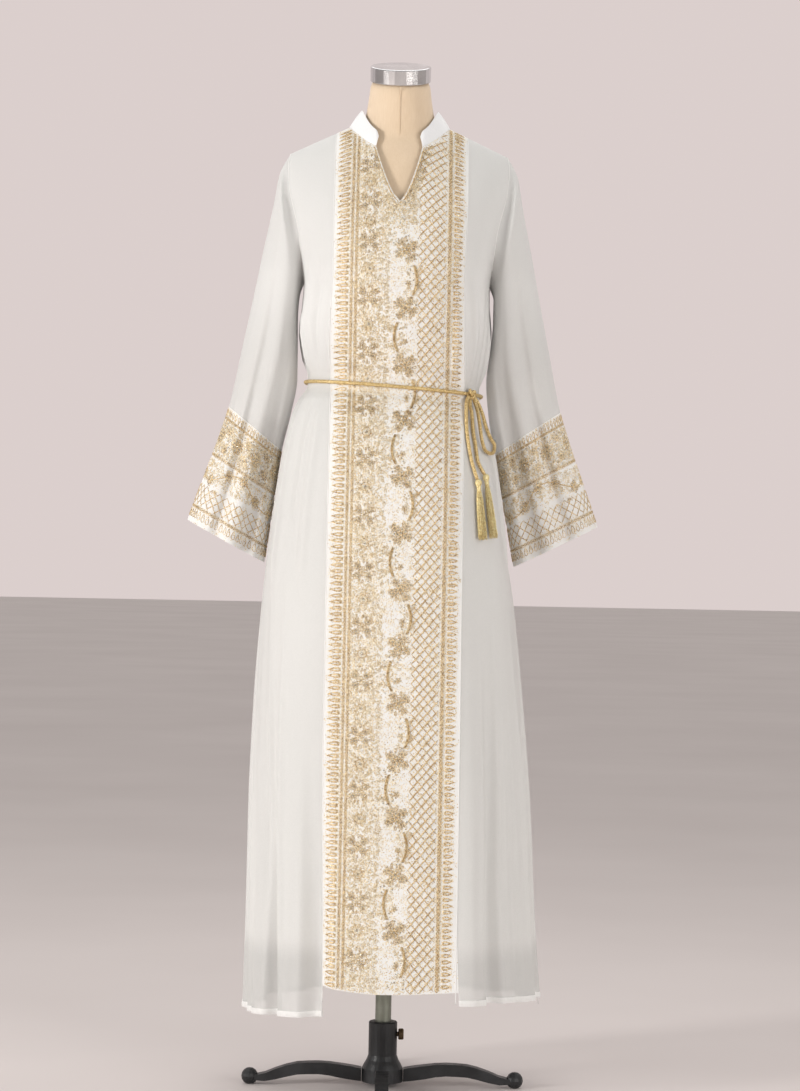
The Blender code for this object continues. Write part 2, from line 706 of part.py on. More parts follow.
def cord_object(name, points, cyclic=False, radius=CORD_R, finish="gold_cord", sides=2):
    data = bpy.data.curves.new(name, "CURVE")
    data.dimensions = "3D"
    data.bevel_depth = radius
    data.bevel_resolution = sides
    data.use_fill_caps = not cyclic
    line = data.splines.new("POLY")
    line.points.add(len(points) - 1)
    for spot, place in zip(line.points, points):
        spot.co = (*place, 1.0)
    line.use_cyclic_u = cyclic
    return finished(bpy.data.objects.new(name, data), finish)


def on_body(turn, level, out):
    """A point this far outside the garment's body."""
    return body_point(turn, level) + body_normal(turn, level) * out


def even_line(points, count):
    """count points evenly spaced along a smooth curve through these ones."""
    points = np.asarray(points, float)
    steps = np.linalg.norm(np.diff(points, axis=0), axis=1)
    route = {"along": np.concatenate([[0], np.cumsum(steps)])}
    for k, name in enumerate("xyz"):
        route[name] = points[:, k]
    fine = np.linspace(0, route["along"][-1], 400)
    curve = np.stack([smooth(route, name, fine) for name in "xyz"], axis=-1)
    run = np.concatenate([[0], np.cumsum(np.linalg.norm(np.diff(curve, axis=0), axis=1))])
    at = np.linspace(0, run[-1], count)
    return np.stack([np.interp(at, run, curve[:, k]) for k in range(3)], axis=-1)


# Routes on the skirt: across and up in the front view, and how far the cord's middle is off the
# cloth. Each starts at the knot, the loop ends there, and a tail ends at its tassel.
TAIL_LEFT = table(
    "row x level out",
    (1, 0.1120, 1.1150, 0.0070),
    (2, 0.1150, 1.0850, 0.0042),
    (3, 0.1192, 1.0550, 0.0038),
    (4, 0.1245, 1.0270, 0.0046),
)
TAIL_RIGHT = table(
    "row x level out",
    (1, 0.1210, 1.1130, 0.0066),
    (2, 0.1250, 1.0850, 0.0042),
    (3, 0.1292, 1.0610, 0.0040),
    (4, 0.1330, 1.0330, 0.0046),
)
LOOP = table(
    "row x level out",
    (1, 0.1375, 1.1150, 0.0070),
    (2, 0.1440, 1.0960, 0.0055),
    (3, 0.1520, 1.0790, 0.0045),
    (4, 0.1585, 1.0600, 0.0045),
    (5, 0.1545, 1.0480, 0.0045),
    (6, 0.1450, 1.0500, 0.0060),
    (7, 0.1365, 1.0660, 0.0085),
    (8, 0.1320, 1.0870, 0.0100),
    (9, 0.1285, 1.1070, 0.0110),
)
# Ways out of the knot: across, up and away from the cloth
KNOT_EXITS = {
    "tail_left": (-0.83, -0.56, 0.0),
    "tail_right": (-0.34, -0.94, 0.0),
    "loop_start": (0.83, -0.56, 0.0),
    "loop_end": (0.30, -0.90, 0.30),
}
# Tassels: across, up and off the cloth, of the head and of the strands' ends
TASSELS = {
    "left": ((0.1325, 0.9955, 0.0075), (0.1420, 0.9020, 0.0072)),
    "right": ((0.1440, 1.0050, 0.0080), (0.1590, 0.9050, 0.0072)),
}
TASSEL_HEAD = 0.0062
TASSEL_FLAT = 0.6  # a tassel that lies on cloth is this much as deep as it is wide
STRANDS = 10
STRAND = table(
    "along radius size",
    (0.01, 0.0030, 0.0007),
    (0.18, 0.0046, 0.0009),
    (0.55, 0.0054, 0.0010),
    (1.00, 0.0060, 0.0011),
)


def at_front(x, level, out):
    """A point this far outside the body's front."""
    return on_body(turn_at(np.asarray(x, float), np.asarray(level, float)), level, out)


def knot_frame():
    """The knot's centre, and its directions across, up and away from the cloth."""
    at = np.array(KNOT_TURN), np.array(WAIST)
    out = body_normal(*at)
    right = unit(np.cross((0.0, 0.0, 1.0), out))
    return on_body(*at, KNOT_SIZE[1] + CORD_GAP), np.stack([right, np.cross(out, right), out])


def knot_exit(name):
    """The first two points of a cord that leaves the knot."""
    centre, axes = knot_frame()
    way = unit(np.array(KNOT_EXITS[name]))
    surface = 1 / math.hypot(way[0] / KNOT_SIZE[0], way[1] / KNOT_SIZE[0], way[2] / KNOT_SIZE[1])
    start = surface + KNOT_EXIT_GAP
    return [centre + way @ axes * reach for reach in (start, start + KNOT_LEAD)]


def on_skirt(route):
    return [at_front(*row) for row in zip(route["x"], route["level"], route["out"])]


def tail_points(route, side):
    head = at_front(*TASSELS[side][0])
    points = [*knot_exit("tail_" + side), *on_skirt(route)]
    return even_line([*points, head + unit(points[-1] - head) * (TASSEL_HEAD + SEAM)], 12)


def make_belt():
    """The cord round the waist stops at each side of its knot, which the tails and loop leave."""
    turn = np.linspace(KNOT_TURN + KNOT_GAP, KNOT_TURN + 360 - KNOT_GAP, BELT_POINTS)
    cord_object("belt_cord", on_body(turn, np.full(BELT_POINTS, WAIST), CORD_R + CORD_GAP))
    make_knot()
    cord_object("belt_tail_left", tail_points(TAIL_LEFT, "left"))
    cord_object("belt_tail_right", tail_points(TAIL_RIGHT, "right"))
    loop = [*knot_exit("loop_start"), *on_skirt(LOOP), *knot_exit("loop_end")[::-1]]
    cord_object("belt_loop", even_line(loop, 22))


def make_knot():
    bpy.ops.mesh.primitive_uv_sphere_add(segments=14, ring_count=9, radius=1)
    knot = bpy.context.object
    knot.name = "belt_knot"
    centre, axes = knot_frame()
    turned_out = Matrix(axes.T.tolist()).to_4x4()
    size = Matrix.Diagonal((KNOT_SIZE[0], KNOT_SIZE[2], KNOT_SIZE[1], 1))
    knot.data.transform(Matrix.Translation(centre) @ turned_out @ size)
    finished(knot, "gold_cord")
    rounded_off(knot)


def make_tassel(name, ends):
    """A round head with strands whose roots are fused in it, hanging down the skirt."""
    head_centre, foot = (Vector(at_front(*end)) for end in ends)
    drop = foot - head_centre
    down = drop.normalized()
    bpy.ops.mesh.primitive_uv_sphere_add(segments=12, ring_count=8, radius=TASSEL_HEAD, location=head_centre)
    head = bpy.context.object
    head.name = name
    head.data.transform(Matrix.Translation(head_centre))
    head.matrix_world = Matrix.Identity(4)
    x, level = (np.array(value) for value in ends[1][:2])
    out = Vector(body_normal(turn_at(x, level), level))
    side = down.cross(out).normalized()
    front = side.cross(down)
    points, faces = [], []
    for strand in range(STRANDS):
        angle = 2 * math.pi * strand / STRANDS
        arm = side * math.cos(angle) + front * math.sin(angle) * TASSEL_FLAT
        tangent = down.cross(arm).normalized()
        length = 1 - 0.03 * (strand % 3)
        base = len(points)
        for along, radius, size in zip(*STRAND.values()):
            middle = head_centre + drop * along * length + arm * radius
            thick = arm.normalized() * size
            wide = tangent * size
            points += [middle + thick, middle + wide, middle - thick, middle - wide]
        last = len(points) - 4
        for low in range(base, last, 4):
            faces += [(low + i, low + (i + 1) % 4, low + 4 + (i + 1) % 4, low + 4 + i) for i in range(4)]
        faces += [(base + 3, base + 2, base + 1, base), (last, last + 1, last + 2, last + 3)]
    strands = mesh_object(name + "_strands", points, faces, "gold_thread", "joined")
    rounded_off(strands)
    strands.display_type = "WIRE"
    strands.hide_render = True
    finished(head, "gold_thread")
    join = head.modifiers.new("strands", "BOOLEAN")
    join.operation = "UNION"
    join.object = strands
    join.use_self = True


# Dress form


def make_form():
    """The limbless torso with its neck, in one smooth closed solid."""
    levels = np.concatenate([FORM["level"][:6], [1.275], level_of(upper_lifts()[:-1:2]), [RIDGE]])
    turn, level = np.meshgrid(np.linspace(0, 360, FORM_COLUMNS + 1)[:-1], levels)
    lift = lift_of(level)
    across, ahead = rounded(turn)
    side = smooth(FORM, "side", level)
    front = smooth(FORM, "front", level) * dome(lift, CHEST_ROUND)
    back = smooth(FORM, "back", level) * dome(lift, BACK_ROUND)
    x = side * across
    y = -np.where(ahead > 0, front, back) * ahead
    z = np.where(lift > 0, ARMPIT + (shoulder_z(x) - FORM_EASE - ARMPIT) * lift, level)
    points = np.stack([x, y, z], axis=-1).reshape(-1, 3)
    index = np.arange(turn.size).reshape(turn.shape)
    faces = [tuple(q) for q in grid_faces(index, wrap=True)] + [tuple(index[0][::-1])]
    torso = mesh_object("form_torso", points, faces, "form_cover")
    rounded_off(torso)
    neck = make_neck()
    join = torso.modifiers.new("neck", "BOOLEAN")
    join.operation = "UNION"
    join.object = neck


def neck_ring(row, count=24):
    z, y, side, depth, tilt = (column[row] for column in NECK.values())
    lean = math.radians(tilt)
    ring = []
    for k in range(count):
        angle = 2 * math.pi * k / count
        ahead = -depth * math.cos(angle)
        ring.append((side * math.sin(angle), y + ahead * math.cos(lean), z + ahead * math.sin(lean)))
    return ring


def make_neck():
    count, rows = 24, len(NECK["z"])
    points = [p for row in range(rows) for p in neck_ring(row, count)]
    index = np.arange(count * rows).reshape(rows, count)
    faces = [tuple(q) for q in grid_faces(index, wrap=True)]
    faces += [tuple(index[0][::-1]), tuple(index[-1])]
    neck = mesh_object("neck_block", points, faces, "form_cover", "joined")
    rounded_off(neck)
    neck.display_type = "WIRE"
    neck.hide_render = True
    return neck


def make_cap():
    """The metal cap on the neck, which leans forward with it."""
    z, y, _, _, tilt = (column[-1] for column in NECK.values())
    bpy.ops.mesh.primitive_cylinder_add(vertices=32, radius=CAP_R, depth=CAP_HEIGHT)
    cap = bpy.context.object
    cap.name = "neck_cap"
    lean = Matrix.Rotation(math.radians(tilt), 4, "X")
    lift = Matrix.Translation((0, y, z)) @ lean @ Matrix.Translation((0, 0, CAP_HEIGHT / 2 + SEAM))
    cap.data.transform(lift)
    finished(cap, "chrome")
    edge = cap.modifiers.new("edge", "BEVEL")
    edge.width = 0.0016
    edge.segments = 2
    edge.limit_method = "ANGLE"
    cap.data.shade_smooth()
    cap.data.set_sharp_from_angle(angle=math.radians(40))


# Stand


def turned(name, profile, finish, steps=32):
    """A solid turned about the Z axis from its profile of (radius, height), outside from top to bottom."""
    mesh = bpy.data.meshes.new(name)
    points = [(r, 0, z) for r, z in profile]
    mesh.from_pydata(points, [(k, k + 1) for k in range(len(points) - 1)], [])
    obj = finished(bpy.data.objects.new(name, mesh), finish)
    spin = obj.modifiers.new("turn", "SCREW")
    spin.steps = steps
    spin.render_steps = steps
    spin.use_merge_vertices = True
    spin.merge_threshold = 0.0001
    return obj


def make_pole():
    turned("pole", [(0, POLE_TOP), (POLE_R, POLE_TOP), (POLE_R, POLE_BOTTOM), (0, POLE_BOTTOM)], "pole_steel")


def make_hub():
    """The socket that holds the pole, flaring to the legs, with a threaded hole for the screw."""
    bore = POLE_R + SOCKET_GAP
    profile = [(bore, HUB_TOP), (HUB_R - 0.0015, HUB_TOP), (HUB_R, HUB_TOP - 0.0015), (HUB_R, 0.052),
               (HUB_R + 0.003, 0.044), (0.030, 0.038), (0.034, 0.030), (0.034, 0.008), (0, 0.008), (0, 0.010), (bore, 0.010),
               (bore, HUB_TOP)]
    hub = turned("stand_hub", profile, "cast_iron")
    bpy.ops.mesh.primitive_cylinder_add(vertices=16, radius=SCREW_R + 0.0005, depth=0.03)
    hole = bpy.context.object
    hole.name = "screw_hole"
    hole.data.transform(Matrix.Translation((0.024, 0, SCREW_Z)) @ Matrix.Rotation(math.pi / 2, 4, "Y"))
    finished(hole, "cast_iron", "joined")
    hole.display_type = "WIRE"
    hole.hide_render = True
    cut = hub.modifiers.new("hole", "BOOLEAN")
    cut.operation = "DIFFERENCE"
    cut.object = hole
    return hub


LEG_TOP = table("x z", (0.0345, 0.0300), (0.055, 0.0335), (0.104, 0.0385), (0.137, 0.0370),
                (0.169, 0.0290), (0.192, 0.0195), (0.2110, 0.0150))
LEG_UNDER = table("x z", (0.0345, 0.0090), (0.060, 0.0120), (0.104, 0.0190), (0.137, 0.0180),
                  (0.169, 0.0110), (0.192, 0.0060), (0.2110, 0.0070))


def make_leg(name, angle):
    """One arched arm of the base, cut from its outline, with rounded edges and a ball for a foot."""
    data = bpy.data.curves.new(name, "CURVE")
    data.dimensions = "2D"
    data.fill_mode = "BOTH"
    data.extrude = LEG_WIDTH / 2
    x = np.linspace(LEG_TOP["x"][0], LEG_TOP["x"][-1], 11)
    outline = list(zip(x, smooth(LEG_TOP, "z", x))) + list(zip(x, smooth(LEG_UNDER, "z", x)))[::-1]
    line = data.splines.new("POLY")
    line.points.add(len(outline) - 1)
    for spot, (along, up) in zip(line.points, outline):
        spot.co = (along, up, 0, 1)
    line.use_cyclic_u = True
    flat = bpy.data.objects.new(name + "_outline", data)
    bpy.context.scene.collection.objects.link(flat)
    bpy.context.view_layer.update()
    mesh = bpy.data.meshes.new_from_object(flat.evaluated_get(bpy.context.evaluated_depsgraph_get()))
    bpy.data.objects.remove(flat)
    mesh.name = name
    leg = finished(bpy.data.objects.new(name, mesh), "cast_iron")
    leg.data.transform(Matrix.Rotation(angle, 4, "Z") @ Matrix.Rotation(math.pi / 2, 4, "X"))
    rounded_off(leg)
    edge = leg.modifiers.new("edge", "BEVEL")
    edge.width = 0.0035
    edge.segments = 1
    edge.limit_method = "ANGLE"
    edge.angle_limit = math.radians(60)
    join = leg.modifiers.new("foot", "BOOLEAN")
    join.operation = "UNION"
    join.object = make_foot(name + "_ball", angle)


def make_foot(name, angle):
    """The ball at a leg's end, flattened where it stands on the floor."""
    bpy.ops.mesh.primitive_uv_sphere_add(segments=14, ring_count=8, radius=FOOT_R)
    foot = bpy.context.object
    foot.name = name
    sole = -FOOT_R * 0.92
    shape = bmesh.new()
    shape.from_mesh(foot.data)
    cut = shape.verts[:] + shape.edges[:] + shape.faces[:]
    bmesh.ops.bisect_plane(shape, geom=cut, plane_co=(0, 0, sole), plane_no=(0, 0, 1), clear_inner=True)
    bmesh.ops.holes_fill(shape, edges=[e for e in shape.edges if e.is_boundary])
    shape.to_mesh(foot.data)
    shape.free()
    foot.data.transform(Matrix.Rotation(angle, 4, "Z") @ Matrix.Translation((FOOT_REACH, 0, -sole)))
    finished(foot, "cast_iron", "joined")
    rounded_off(foot)
    foot.display_type = "WIRE"
    foot.hide_render = True
    return foot


def make_screw():
    """The clamp screw, whose tip stops just short of the pole. Its head is a round grip."""
    tip = POLE_R + SOCKET_GAP
    neck, face, grip = HUB_R + 0.0008, HUB_R + 0.0108, 0.0093
    profile = [(0, face), (grip - 0.0015, face), (grip, face - 0.0015), (grip, neck + 0.0025),
               (grip - 0.0015, neck + 0.001), (SCREW_R, neck + 0.001), (SCREW_R, tip), (0, tip)]
    screw = turned("clamp_screw", profile, "cast_iron", 20)
    screw.matrix_world = Matrix.Translation((0, 0, SCREW_Z)) @ Matrix.Rotation(math.pi / 2, 4, "Y")


def main():
    clear_scene()
    make_front_panel()
    make_side_panel("front_left", -1)
    make_side_panel("front_right", 1)
    make_back_panel()
    for part in LINING_LEVELS:
        make_lining(part, "front", 0)
        make_lining(part, "back", 180)
    make_collar()
    for side, sign in (("left", -1), ("right", 1)):
        sleeve_wall("sleeve_" + side, SLEEVE_ROWS, sign, CHIFFON, "chiffon")
        sleeve_wall("cuff_" + side, CUFF_ROWS, sign, BAND, "embroidery")
    make_belt()
    for side, ends in TASSELS.items():
        make_tassel("tassel_" + side, ends)
    make_form()
    make_cap()
    make_pole()
    make_hub()
    make_screw()
    for k, side in enumerate(("right", "back", "left", "front")):
        make_leg("leg_" + side, k * math.pi / 2)


main()
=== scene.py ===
"""The looks of a long white jalabiya with gold embroidery, on a limbless dress form and its stand.

Metres. The floor is Z = 0 and the front faces -Y. The cloth follows the same surfaces as the
solids, read on finer grids and with smaller creases, and the needlework is laid on them.
"""

import math

import bpy
import numpy as np
from mathutils import Matrix, Vector


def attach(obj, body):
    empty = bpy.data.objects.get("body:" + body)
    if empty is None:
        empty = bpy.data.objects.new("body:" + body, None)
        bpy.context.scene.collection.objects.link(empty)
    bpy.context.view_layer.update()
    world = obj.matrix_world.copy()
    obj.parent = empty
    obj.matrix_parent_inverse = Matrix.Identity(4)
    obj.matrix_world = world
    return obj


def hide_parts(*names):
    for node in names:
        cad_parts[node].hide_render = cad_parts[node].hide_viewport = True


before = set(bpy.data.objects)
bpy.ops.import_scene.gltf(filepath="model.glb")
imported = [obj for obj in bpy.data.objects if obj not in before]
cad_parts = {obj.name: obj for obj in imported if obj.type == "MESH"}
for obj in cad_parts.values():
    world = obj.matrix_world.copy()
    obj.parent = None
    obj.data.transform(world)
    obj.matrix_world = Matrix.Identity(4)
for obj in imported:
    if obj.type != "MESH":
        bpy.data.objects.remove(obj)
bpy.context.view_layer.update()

# Cloth
CHIFFON = 0.0011
BAND = 0.0016
SEAM = 0.0001

# Levels of the garment. A level is a height before the belt's slope is added.
ARMPIT = 1.320
RIDGE = 1.620
WAIST = 1.1485
WAIST_SLOPE = 0.0095

# Shoulders, armholes, neckline and the slit below it
SHOULDER_TOP = 1.6206
SHOULDER_SLOPE = 0.477
SHOULDER_ROUND = 0.020
ARMHOLE_FLARE = 0.06
NECK_HALF = 0.083
NECK_DROP_FRONT = 0.258
NECK_DROP_BACK = 0.205
NECK_START = 0.5  # how far up the armhole the rows begin to bend to the neckline
SLIT_X = 0.003
SLIT_HALF = 0.038
SLIT_LIFT = 0.440
PANEL_LEFT = -0.104
PANEL_RIGHT = 0.113
BOXY = 2.3
CHEST_ROUND = 1.6
BACK_ROUND = 2.2
LINING_HEM = 0.250

# Belt
CORD_R = 0.003
CORD_GAP = 0.0008
KNOT_TURN = 55.5
KNOT_GAP = 4.2
KNOT_SIZE = (0.0095, 0.0066, 0.0095)
KNOT_EXIT_GAP = 0.0006
KNOT_LEAD = 0.004


def table(columns, *rows):
    """Rows of numbers as arrays with names, the first of which the others are read along."""
    return dict(zip(columns.split(), np.array(rows, float).T))


BODY = table(
    "level left right front back",
    (0.080, 0.2245, 0.2560, 0.205, 0.215),
    (0.200, 0.2230, 0.2450, 0.197, 0.207),
    (0.306, 0.2222, 0.2380, 0.190, 0.200),
    (0.471, 0.2220, 0.2285, 0.182, 0.190),
    (0.636, 0.2190, 0.2155, 0.174, 0.182),
    (0.801, 0.2110, 0.2000, 0.166, 0.174),
    (0.884, 0.2040, 0.1870, 0.161, 0.168),
    (0.978, 0.1930, 0.1740, 0.153, 0.158),
    (1.049, 0.1810, 0.1630, 0.143, 0.145),
    (1.098, 0.1690, 0.1530, 0.130, 0.128),
    (1.125, 0.1555, 0.1455, 0.117, 0.112),
    (1.140, 0.1440, 0.1390, 0.1062, 0.0985),
    (1.157, 0.1435, 0.1385, 0.1058, 0.0980),
    (1.180, 0.1490, 0.1445, 0.113, 0.104),
    (1.247, 0.1570, 0.1540, 0.127, 0.112),
    (1.320, 0.1530, 0.1530, 0.133, 0.115),
    (1.450, 0.1530, 0.1530, 0.131, 0.115),
    (1.620, 0.1530, 0.1530, 0.128, 0.112),
)

# The armhole's edge, from the armpit to the shoulder seam
ARMHOLE = table("lift x", (0, 0.153), (0.35, 0.1615), (0.72, 0.1785), (0.92, 0.1815), (1, 0.179))

# Folds of the skirt and the bodice. low and high are the fold's turn at its foot and at its
# top, width is its half-width in degrees, and depth is outward at its fullest.
FOLDS = table(
    "low high width depth top full end",
    (-29, -31, 5.5, -0.019, 0.64, 0.14, -1.0),
    (-39, -44, 7.0, 0.012, 0.82, 0.14, -1.0),
    (-48, -62, 4.8, -0.016, 0.86, 0.18, -1.0),
    (-60, -72, 9.0, 0.009, 0.78, 0.14, -1.0),
    (-80, -83, 7.0, -0.009, 0.74, 0.14, -1.0),
    (33, 36, 6.5, 0.012, 0.86, 0.14, -1.0),
    (43, 50, 5.0, -0.018, 1.00, 0.20, -1.0),
    (60, 63, 10.0, 0.011, 0.80, 0.14, -1.0),
    (79, 80, 7.0, -0.009, 0.74, 0.14, -1.0),
    (97, 96, 8.0, 0.011, 0.84, 0.14, -1.0),
    (111, 112, 7.0, -0.017, 0.92, 0.16, -1.0),
    (125, 124, 8.0, 0.014, 0.86, 0.14, -1.0),
    (138, 136, 7.5, -0.020, 1.02, 0.16, -1.0),
    (152, 151, 8.0, 0.013, 0.84, 0.14, -1.0),
    (166, 167, 7.0, -0.016, 0.92, 0.14, -1.0),
    (180, 179, 8.0, 0.015, 0.90, 0.14, -1.0),
    (-166, -168, 7.0, -0.018, 0.98, 0.16, -1.0),
    (-152, -154, 8.0, 0.012, 0.82, 0.14, -1.0),
    (-139, -137, 7.5, -0.018, 0.92, 0.16, -1.0),
    (-125, -126, 8.0, 0.014, 0.88, 0.14, -1.0),
    (-111, -111, 7.0, -0.018, 0.96, 0.16, -1.0),
    (-97, -99, 8.0, 0.011, 0.82, 0.14, -1.0),
    (46, 44, 7.0, -0.0045, 1.50, 1.36, 1.19),
    (60, 58, 8.0, 0.0040, 1.46, 1.34, 1.19),
    (-50, -46, 8.0, -0.0035, 1.50, 1.34, 1.19),
    (-64, -60, 8.0, 0.0035, 1.44, 1.32, 1.19),
    (150, 146, 10.0, -0.0050, 1.46, 1.30, 1.19),
    (-146, -144, 10.0, -0.0050, 1.48, 1.30, 1.19),
)

# Creases finer than the solids' folds, in the same columns: the skirt's, then gathers below and
# above the belt, then slack across the chest and the back
CREASES = table(
    "low high width depth top full end",
    (-34, -36, 2.0, 0.0040, 0.60, 0.20, -1.0),
    (-44, -52, 1.8, 0.0055, 0.92, 0.30, -1.0),
    (-53, -66, 2.2, 0.0048, 0.98, 0.42, -1.0),
    (-67, -76, 2.4, -0.0042, 0.86, 0.30, -1.0),
    (-72, -79, 1.8, 0.0034, 0.70, 0.22, 0.06),
    (-88, -88, 2.6, 0.0045, 0.95, 0.40, -1.0),
    (38, 43, 1.9, 0.0042, 0.84, 0.28, -1.0),
    (47, 53, 1.8, 0.0050, 0.88, 0.34, -1.0),
    (55, 58, 2.2, -0.0044, 0.78, 0.30, 0.05),
    (66, 68, 2.4, 0.0040, 0.86, 0.44, -1.0),
    (73, 75, 1.9, -0.0036, 0.70, 0.26, -1.0),
    (86, 87, 2.6, 0.0050, 0.98, 0.36, -1.0),
    (104, 103, 2.2, -0.0045, 0.76, 0.24, -1.0),
    (118, 118, 2.0, 0.0042, 0.90, 0.40, 0.02),
    (131, 130, 2.4, -0.0050, 0.94, 0.30, -1.0),
    (145, 143, 1.9, 0.0044, 0.72, 0.22, -1.0),
    (159, 158, 2.3, 0.0046, 0.98, 0.46, -1.0),
    (173, 173, 2.0, 0.0040, 0.80, 0.30, 0.04),
    (-173, -173, 2.4, -0.0046, 0.88, 0.34, -1.0),
    (-159, -161, 2.0, 0.0046, 0.96, 0.40, -1.0),
    (-146, -145, 2.3, 0.0050, 0.76, 0.24, -1.0),
    (-132, -131, 1.9, -0.0038, 0.90, 0.36, -1.0),
    (-118, -118, 2.4, 0.0046, 0.98, 0.42, -1.0),
    (-104, -105, 2.0, -0.0042, 0.74, 0.26, -1.0),
    (-42, -44, 2.6, 0.0034, 1.143, 1.07, 0.80),
    (-52, -55, 2.2, -0.0036, 1.143, 1.08, 0.86),
    (-63, -65, 2.8, 0.0038, 1.143, 1.06, 0.78),
    (-77, -78, 2.4, -0.0034, 1.143, 1.08, 0.88),
    (78, 77, 2.4, 0.0036, 1.143, 1.07, 0.82),
    (92, 92, 2.8, -0.0040, 1.143, 1.06, 0.86),
    (108, 107, 2.3, 0.0038, 1.143, 1.08, 0.78),
    (122, 121, 2.7, -0.0042, 1.143, 1.07, 0.84),
    (137, 137, 2.2, 0.0036, 1.143, 1.06, 0.88),
    (154, 154, 2.8, -0.0040, 1.143, 1.08, 0.80),
    (168, 168, 2.4, 0.0038, 1.143, 1.07, 0.86),
    (-178, -178, 2.3, -0.0036, 1.143, 1.06, 0.82),
    (-163, -163, 2.8, 0.0040, 1.143, 1.08, 0.88),
    (-149, -149, 2.2, -0.0038, 1.143, 1.07, 0.80),
    (-135, -134, 2.6, 0.0040, 1.143, 1.06, 0.84),
    (-121, -121, 2.4, -0.0036, 1.143, 1.08, 0.88),
    (-107, -107, 2.7, 0.0038, 1.143, 1.07, 0.80),
    (-93, -92, 2.3, -0.0036, 1.143, 1.06, 0.86),
    (-40, -38, 2.8, 0.0032, 1.34, 1.24, 1.155),
    (-55, -51, 2.6, -0.0034, 1.38, 1.26, 1.155),
    (-70, -67, 3.0, 0.0036, 1.30, 1.23, 1.155),
    (-82, -80, 2.6, -0.0030, 1.28, 1.22, 1.155),
    (39, 38, 2.8, 0.0030, 1.34, 1.25, 1.155),
    (53, 50, 2.5, 0.0034, 1.37, 1.26, 1.155),
    (68, 66, 3.0, -0.0036, 1.31, 1.24, 1.155),
    (80, 79, 2.6, 0.0030, 1.28, 1.22, 1.155),
    (100, 102, 3.2, 0.0036, 1.33, 1.24, 1.155),
    (117, 120, 2.8, -0.0034, 1.38, 1.25, 1.155),
    (134, 137, 3.4, 0.0040, 1.34, 1.24, 1.155),
    (158, 160, 3.0, -0.0036, 1.40, 1.27, 1.155),
    (174, 174, 3.4, 0.0036, 1.32, 1.23, 1.155),
    (-166, -168, 3.0, -0.0038, 1.38, 1.26, 1.155),
    (-134, -137, 3.3, 0.0040, 1.33, 1.24, 1.155),
    (-118, -121, 2.8, -0.0034, 1.37, 1.25, 1.155),
    (-101, -103, 3.2, 0.0036, 1.32, 1.23, 1.155),
)
CREASE_GAIN = {"out": 1.7, "in": 1.15}
CREASE_REACH = 3.0  # widths from its middle at which a fold or a crease has faded away
FOLD_END_FADE = 0.10
WAIST_SPREAD = 0.12  # how far above and below the belt its slope fades out

# Height of the hem round the side and back panels, and across the embroidered panel
HEM = table(
    "turn z",
    (-180, 0.135),
    (-140, 0.131),
    (-100, 0.127),
    (-75, 0.130),
    (-38, 0.139),
    (-20, 0.141),
    (20, 0.163),
    (35, 0.163),
    (75, 0.158),
    (100, 0.147),
    (140, 0.139),
    (180, 0.135),
)
PANEL_HEM = table("turn z", (-30, 0.190), (0, 0.180), (30, 0.184))

# How far the lining lies inside the garment's outside, and how much of its folds it follows
LINING_EASE = table(
    "level ease folded",
    (0.250, 0.0330, 0.0),
    (0.500, 0.0260, 0.0),
    (0.800, 0.0180, 0.0),
    (1.000, 0.0120, 0.0),
    (1.150, 0.0065, 1.0),
    (1.250, 0.0042, 1.0),
    (1.300, 0.0031, 1.0),
)

# Sleeve: its outer and inner edges in the front view, its middle's depth and its half-depth.
# The right sleeve has the inner edge nearer the body than the left one.
SLEEVE = table(
    "row outer_x outer_z inner_left inner_right inner_z middle_y half_depth",
    (0, 0.1780, 1.5357, 0.1530, 0.1530, 1.320, 0.000, 0.050),
    (1, 0.1960, 1.5020, 0.1600, 0.1600, 1.298, 0.002, 0.058),
    (2, 0.2070, 1.4450, 0.1625, 0.1600, 1.262, 0.008, 0.060),
    (3, 0.2225, 1.3720, 0.1620, 0.1565, 1.215, 0.015, 0.058),
    (4, 0.2370, 1.3000, 0.1620, 0.1510, 1.165, 0.024, 0.056),
    (5, 0.2550, 1.2150, 0.1725, 0.1565, 1.105, 0.035, 0.055),
    (6, 0.2760, 1.1180, 0.1865, 0.1685, 1.046, 0.046, 0.054),
    (7, 0.3420, 0.9290, 0.2125, 0.2030, 0.860, 0.054, 0.056),
)
CUFF_START = 6
SLEEVE_END = 7
SLEEVE_BLEND = 1.6  # row by which the armhole's shape has turned into the sleeve's oval

# Folds of a sleeve. around is 0 at its outer edge, 90 at the front and 180 at its inner edge.
SLEEVE_FOLDS = table(
    "around width depth start",
    (52, 18, 0.0040, 1.5),
    (77, 11, -0.0090, 1.2),
    (96, 14, 0.0060, 2.5),
    (118, 12, -0.0070, 2.0),
    (142, 16, 0.0040, 3.0),
    (222, 16, -0.0060, 2.0),
    (248, 15, 0.0050, 2.5),
    (278, 14, -0.0080, 1.5),
    (310, 18, 0.0050, 2.0),
    (38, 6, 0.0026, 1.0),
    (66, 5, 0.0030, 0.8),
    (87, 5, -0.0032, 2.0),
    (106, 5, 0.0030, 1.4),
    (130, 6, -0.0028, 1.8),
    (156, 6, 0.0024, 2.6),
    (206, 6, -0.0026, 2.4),
    (235, 6, 0.0030, 1.6),
    (262, 5, -0.0032, 1.2),
    (292, 6, 0.0030, 1.8),
    (328, 7, -0.0024, 1.4),
)

# Dress form, as half-widths at each level, inside the garment
FORM = table(
    "level side front back",
    (0.862, 0.142, 0.098, 0.110),
    (0.900, 0.152, 0.107, 0.119),
    (0.970, 0.155, 0.112, 0.125),
    (1.050, 0.144, 0.103, 0.110),
    (1.150, 0.113, 0.086, 0.082),
    (1.230, 0.128, 0.104, 0.093),
    (1.320, 0.140, 0.121, 0.104),
    (1.450, 0.156, 0.119, 0.104),
    (1.620, 0.166, 0.116, 0.103),
)
FORM_EASE = 0.0024

